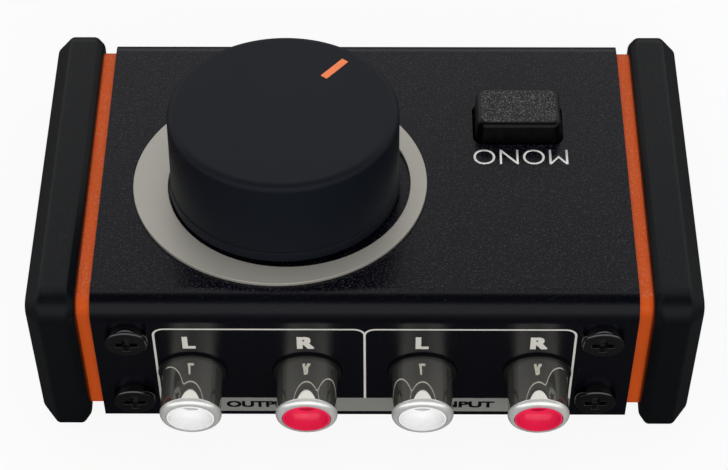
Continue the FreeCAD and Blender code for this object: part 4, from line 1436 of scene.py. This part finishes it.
@dataclass
class Print:
    """The print: frames, band and letters on the rear face, and the word beside the button.

    The second frame's ink is a little thicker than the first's, because the two share their middle line.
    """

    layout: Layout
    palette: Palette
    ink: float = 0.02 * MM
    second_ink: float = 1.1
    band_ink: float = 0.03 * MM
    line: float = 0.3 * MM
    frame_half_width: float = 28.1 * MM
    frame_top: float = 23.9 * MM
    frame_corner: float = 1.6 * MM
    band_low: float = 2.15 * MM
    band_high: float = 5.75 * MM
    letter_z: float = 20.33 * MM
    letter_shift: float = 0.1 * MM
    word_height: float = 1.65 * MM
    word_bolder: Corner = (0.19 * MM, 0.15 * MM)
    word_z: float = 4.05 * MM
    mono_shift: Corner = (-0.2 * MM, 6.85 * MM)
    curve_steps: int = 6
    layer_gap: float = 1e-7
    channels: ClassVar[dict[str, Lettering]] = {
        "left": Lettering("L", 1.75 * MM, 3.0 * MM, (0.42 * MM, 0.3 * MM)),
        "right": Lettering("R", 2.3 * MM, 3.0 * MM, (0.42 * MM, 0.3 * MM)),
    }
    mono: ClassVar[Lettering] = Lettering("MONO", 13.05 * MM, 3.0 * MM, outline=-0.012)
    band_words: ClassVar[tuple[tuple[str, float, float], ...]] = (
        ("OUTPUT", 19.05 * MM, 9.1 * MM), ("INPUT", -10.1 * MM, -17.8 * MM))

    def build(self) -> None:
        """Lay every line and letter on its face."""
        left, right = self.frame_half_width, -self.frame_half_width
        self.frame("frame_output", -self.line / 2, left, self.ink)
        self.frame("frame_input", right, self.line / 2, self.ink * self.second_ink)
        band = block("band", (right, 0, self.band_low), (left, self.band_ink, self.band_high))
        self.dress(self.on_rear(band), self.palette.band_print)
        for name in self.layout.SOCKETS:
            channel = name.split("_")[1]
            centre = self.layout.socket(name).place.translation.x + self.letter_shift
            seat = self.rear_seat(centre, self.letter_z)
            self.word(f"letter_{name}", self.channels[channel], seat, self.palette.letter_print)
        for text, start, end in self.band_words:
            lettering = Lettering(text, start - end, self.word_height, self.word_bolder)
            seat = self.rear_seat((start + end) / 2, self.word_z, self.band_ink)
            self.word(f"word_{text.lower()}", lettering, seat, self.palette.dark_print)
        seat = self.layout.button.moved(*self.mono_shift)
        self.word("word_mono", self.mono, seat, self.palette.white_print)

    def rear_seat(self, x: float, z: float, out: float = 0.0) -> Seat:
        """A place for a word on the rear face, to be read from behind."""
        return Seat.at(Vector((x, self.layout.rear_y + out, z)), Axis.READ_FROM_REAR.matrix())

    def on_rear(self, piece: Piece) -> Piece:
        """Shift a piece that is built at Y = 0 onto the rear face."""
        return set_down(piece, Matrix.Translation((0, self.layout.rear_y, 0)))

    def dress(self, piece: Piece, finish: Finish) -> None:
        """Give a printed piece its ink and let it ride on the housing."""
        mount_piece(piece, "housing", finish.material())

    def frame(self, name: str, low: float, high: float, ink: float) -> None:
        """A line round a group of sockets, its two upper corners round.

        Args:
            name: The piece's name.
            low: Its lower end along X.
            high: Its higher end along X.
            ink: How thick its ink is.
        """
        bottom = self.band_high - self.line
        clear_selection()
        middle = ((low + high) / 2, 0, (bottom + self.frame_top) / 2)
        bpy.ops.mesh.primitive_plane_add(size=1, location=middle, rotation=(-math.pi / 2, 0, 0))
        panel = bpy.context.object
        panel.scale = (high - low, self.frame_top - bottom, 1)
        fix_place(panel, name)
        edit(panel)
        pick(panel, Element.CORNERS, lambda m: near(m.z, self.frame_top))
        bpy.ops.mesh.bevel(offset=self.frame_corner, segments=8, affect="VERTICES", clamp_overlap=False)
        bpy.ops.mesh.select_mode(type="FACE")
        bpy.ops.mesh.select_all(action="SELECT")
        bpy.ops.mesh.inset(thickness=self.line)
        bpy.ops.mesh.delete(type="FACE")
        bpy.ops.mesh.select_all(action="SELECT")
        bpy.ops.mesh.extrude_region_move(TRANSFORM_OT_translate={"value": (0, ink, 0)})
        finish_edit()
        self.dress(self.on_rear(panel), self.palette.letter_print)

    def word(self, name: str, lettering: Lettering, seat: Seat, finish: Finish) -> None:
        """Print a word, stretched to its real width and height.

        Args:
            name: The piece's name.
            lettering: What it says and how large it is.
            seat: Its middle, read along X and upwards along Y.
            finish: Its ink.
        """
        clear_selection()
        bpy.ops.object.text_add()
        label = bpy.context.object
        label.data.body = lettering.text
        label.data.resolution_u = self.curve_steps
        label.data.offset = lettering.outline
        bpy.ops.object.convert(target="MESH")
        label = fix_place(bpy.context.object, name)
        low, high = span(vertex.co for vertex in label.data.vertices)
        across, up = lettering.bolder
        stretch = Matrix.Diagonal(((lettering.width - across) / (high.x - low.x),
                                   (lettering.height - up) / (high.y - low.y), 1, 1))
        set_down(label, stretch @ Matrix.Translation(-(low + high) / 2))
        if across:
            shifts = [(x * across / 2, y * up / 2) for x in (-1, 0, 1) for y in (-1, 0, 1)]
            layers = [set_down(copy_of(label, f"{name}_{index}"),
                               Matrix.Translation((x, y, index * self.layer_gap)))
                      for index, (x, y) in enumerate(shifts)]
            label = joined(name, [*layers, label])
        edit(label)
        bpy.ops.mesh.select_all(action="SELECT")
        bpy.ops.mesh.extrude_region_move(TRANSFORM_OT_translate={"value": (0, 0, self.ink)})
        finish_edit()
        set_down(label, seat.place)
        self.dress(label, finish)


class CarriedOver:
    """The CAD nodes that keep their own mesh and get a finish."""

    def __init__(self, frame: dict, palette: Palette) -> None:
        """Keep the frame and the finishes.

        Args:
            palette: The unit's finishes.
        """
        self.nodes: dict[str, Piece] = frame["nodes"]
        self.slots = {part["node"]: part["material_slot"] for part in frame["record"]["subparts"]}
        self.palette = palette

    def build(self) -> None:
        """Put each node's finish in its material slots."""
        for name, node in self.nodes.items():
            node.data.materials.clear()
            node.data.materials.append(self.palette[self.slots[name]])
        LOG.info("%d nodes dressed", len(self.nodes))


@dataclass(frozen=True)
class Lamp:
    """A square lamp that is aimed at the unit."""

    name: str
    place: Corner3
    size: float
    power: float

    def hang(self) -> None:
        """Put the lamp up. It gives light and shade, and metal doesn't show it."""
        light = bpy.data.lights.new(self.name, "AREA")
        light.size = self.size
        light.energy = self.power
        lamp = bpy.data.objects.new(self.name, light)
        bpy.context.scene.collection.objects.link(lamp)
        lamp.location = self.place
        lamp.rotation_euler = (-Vector(self.place)).to_track_quat("-Z", "Y").to_euler()
        lamp.visible_glossy = False


@dataclass
class Studio:
    """The pale floor, the sky with its soft boxes, the lamps and the camera.

    The sky's stops run from the horizon behind the unit, at 0, over its top, at 0.5, to the horizon on the
    user's side, at 1, each with its brightness.
    """

    focal_length: float = 132.056
    sensor_width: float = 36.0
    nearest: float = 0.01
    eye: Corner3 = (-1.904 * MM, 206.253 * MM, 324.118 * MM)
    pitch: float = 0.98865
    yaw: float = 0.01032
    roll: float = -0.00668
    backdrop: float = 0.97
    ambient: float = 0.68
    floor_size: float = 4.0
    floor_colour: float = 0.065
    floor_roughness: float = 0.9
    floor_seen: float = 0.905
    floor_lit: float = 0.5
    # Painted shadow: metal shows the floor's glow rising from the first level to the second between these
    # distances from the unit.
    floor_glow_in_metal_shaded_near: Corner = (0.0, 0.3)
    floor_painted_shade_reach: Corner = (0.06, 0.3)
    sky: tuple[Corner, ...] = (
        (0.0, 0.15), (0.07, 1.0), (0.31, 1.0), (0.36, 0.15), (0.42, 0.04), (0.61, 0.04), (0.65, 0.97),
        (0.735, 0.97), (0.765, 0.42), (0.80, 0.42), (0.86, 0.9), (1.0, 0.97))
    lamps: tuple[Lamp, ...] = (Lamp("overhead", (0.05, -0.2, 0.75), 0.5, 1.6),
                               Lamp("from_behind", (-0.1, 0.7, 0.4), 0.4, 2.6))

    def build(self) -> None:
        """Set the whole studio."""
        self.floor()
        self.world()
        for lamp in self.lamps:
            lamp.hang()
        self.camera()
        bpy.context.scene.view_settings.view_transform = "Standard"

    @staticmethod
    def by_ray(tree: Tree, camera: object, mirrored: object, other: float) -> Signal:
        """One strength for the camera, one for rays off metal or through glass, one for light on the object.

        Args:
            tree: The tree that it goes into.
            camera: What the camera sees.
            mirrored: What metal and glass show.
            other: What lights the object.

        Returns:
            The strength.
        """
        path = tree.nodes.new("ShaderNodeLightPath")
        bounced = math_node(tree, "MAXIMUM", path.outputs["Is Glossy Ray"],
                            path.outputs["Is Transmission Ray"])
        strength = remap(tree, bounced, 0.0, 1.0, other, mirrored)
        return remap(tree, path.outputs["Is Camera Ray"], 0.0, 1.0, strength, camera)

    def floor(self) -> None:
        """A pale floor with a faint shadow. Metal shows it with a painted shadow: its glow is darker close to
        the unit, by distance alone.
        """
        clear_selection()
        bpy.ops.mesh.primitive_plane_add(size=self.floor_size, location=(0, 0, 0))
        ground = fix_place(bpy.context.object, "floor")
        paint = bpy.data.materials.new("floor_paper")
        paint.use_nodes = True
        tree = paint.node_tree
        shader = tree.nodes["Principled BSDF"]
        shader.inputs["Base Color"].default_value = (self.floor_colour,) * 3 + (1.0,)
        shader.inputs["Roughness"].default_value = self.floor_roughness
        shader.inputs["Specular IOR Level"].default_value = 0.0
        shader.inputs["Emission Strength"].default_value = 1.0
        distance = tree.nodes.new("ShaderNodeVectorMath")
        distance.operation = "LENGTH"
        tree.links.new(tree.nodes.new("ShaderNodeTexCoord").outputs["Object"], distance.inputs[0])
        # Painted shadow: what metal and glass show of the floor is darker near the unit, by distance,
        # standing in for its shade.
        mirrored = remap(tree, distance.outputs["Value"], *self.floor_painted_shade_reach, *self.floor_glow_in_metal_shaded_near)
        glow = self.by_ray(tree, self.floor_seen, mirrored, self.floor_lit)
        tone = tree.nodes.new("ShaderNodeCombineColor")
        for socket in tone.inputs[:3]:
            tree.links.new(glow, socket)
        tree.links.new(tone.outputs["Color"], shader.inputs["Emission Color"])
        ground.data.materials.append(paint)

    def world(self) -> None:
        """White where the camera sees it, soft boxes in front and behind in metal, grey light elsewhere."""
        world = bpy.data.worlds.new("studio")
        bpy.context.scene.world = world
        world.use_nodes = True
        tree = world.node_tree
        parts = tree.nodes.new("ShaderNodeSeparateXYZ")
        tree.links.new(tree.nodes.new("ShaderNodeTexCoord").outputs["Generated"], parts.inputs[0])
        height = math_node(tree, "ARCTAN2", parts.outputs["Z"], parts.outputs["Y"])
        ramp = tree.nodes.new("ShaderNodeValToRGB")
        tree.links.new(math_node(tree, "DIVIDE", height, math.pi), ramp.inputs["Fac"])
        stops = ramp.color_ramp.elements
        given = len(stops)
        for index, (place, level) in enumerate(self.sky):
            stop = stops[index] if index < given else stops.new(place)
            stop.position = place
            stop.color = (level, level, level, 1.0)
        sky = tree.nodes["Background"]
        sky.inputs["Color"].default_value = (1.0, 1.0, 1.0, 1.0)
        strength = self.by_ray(tree, self.backdrop, ramp.outputs["Color"], self.ambient)
        tree.links.new(strength, sky.inputs["Strength"])

    def camera(self) -> None:
        """The camera at the viewing angle, aimed by pitch, yaw and roll."""
        forward = Vector((math.sin(self.yaw) * math.cos(self.pitch),
                          -math.cos(self.yaw) * math.cos(self.pitch), -math.sin(self.pitch)))
        right = Vector((-math.cos(self.yaw), -math.sin(self.yaw), 0.0))
        turn = Matrix((right, right.cross(forward), -forward)).transposed()
        lens = bpy.data.cameras.new("camera")
        lens.lens = self.focal_length
        lens.sensor_width = self.sensor_width
        lens.sensor_fit = "HORIZONTAL"
        lens.clip_start = self.nearest
        camera = bpy.data.objects.new("camera", lens)
        bpy.context.scene.collection.objects.link(camera)
        camera.matrix_world = (Matrix.Translation(self.eye) @ turn.to_4x4()
                               @ Matrix.Rotation(self.roll, 4, "Z"))
        bpy.context.scene.camera = camera


def main() -> None:
    """Load the frame, dress the nodes, model the pieces and set the studio."""
    logging.basicConfig(level=logging.INFO, format="%(message)s")
    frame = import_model()
    layout = Layout(frame)
    palette = Palette(layout)
    CarriedOver(frame, palette).build()
    for sub_assembly in (Cheeks, Knob, TrimRing, Button, ReturnSpring, Screws, Sockets, Print):
        sub_assembly(layout, palette).build()
    Studio().build()


if __name__ == "__main__":
    main()
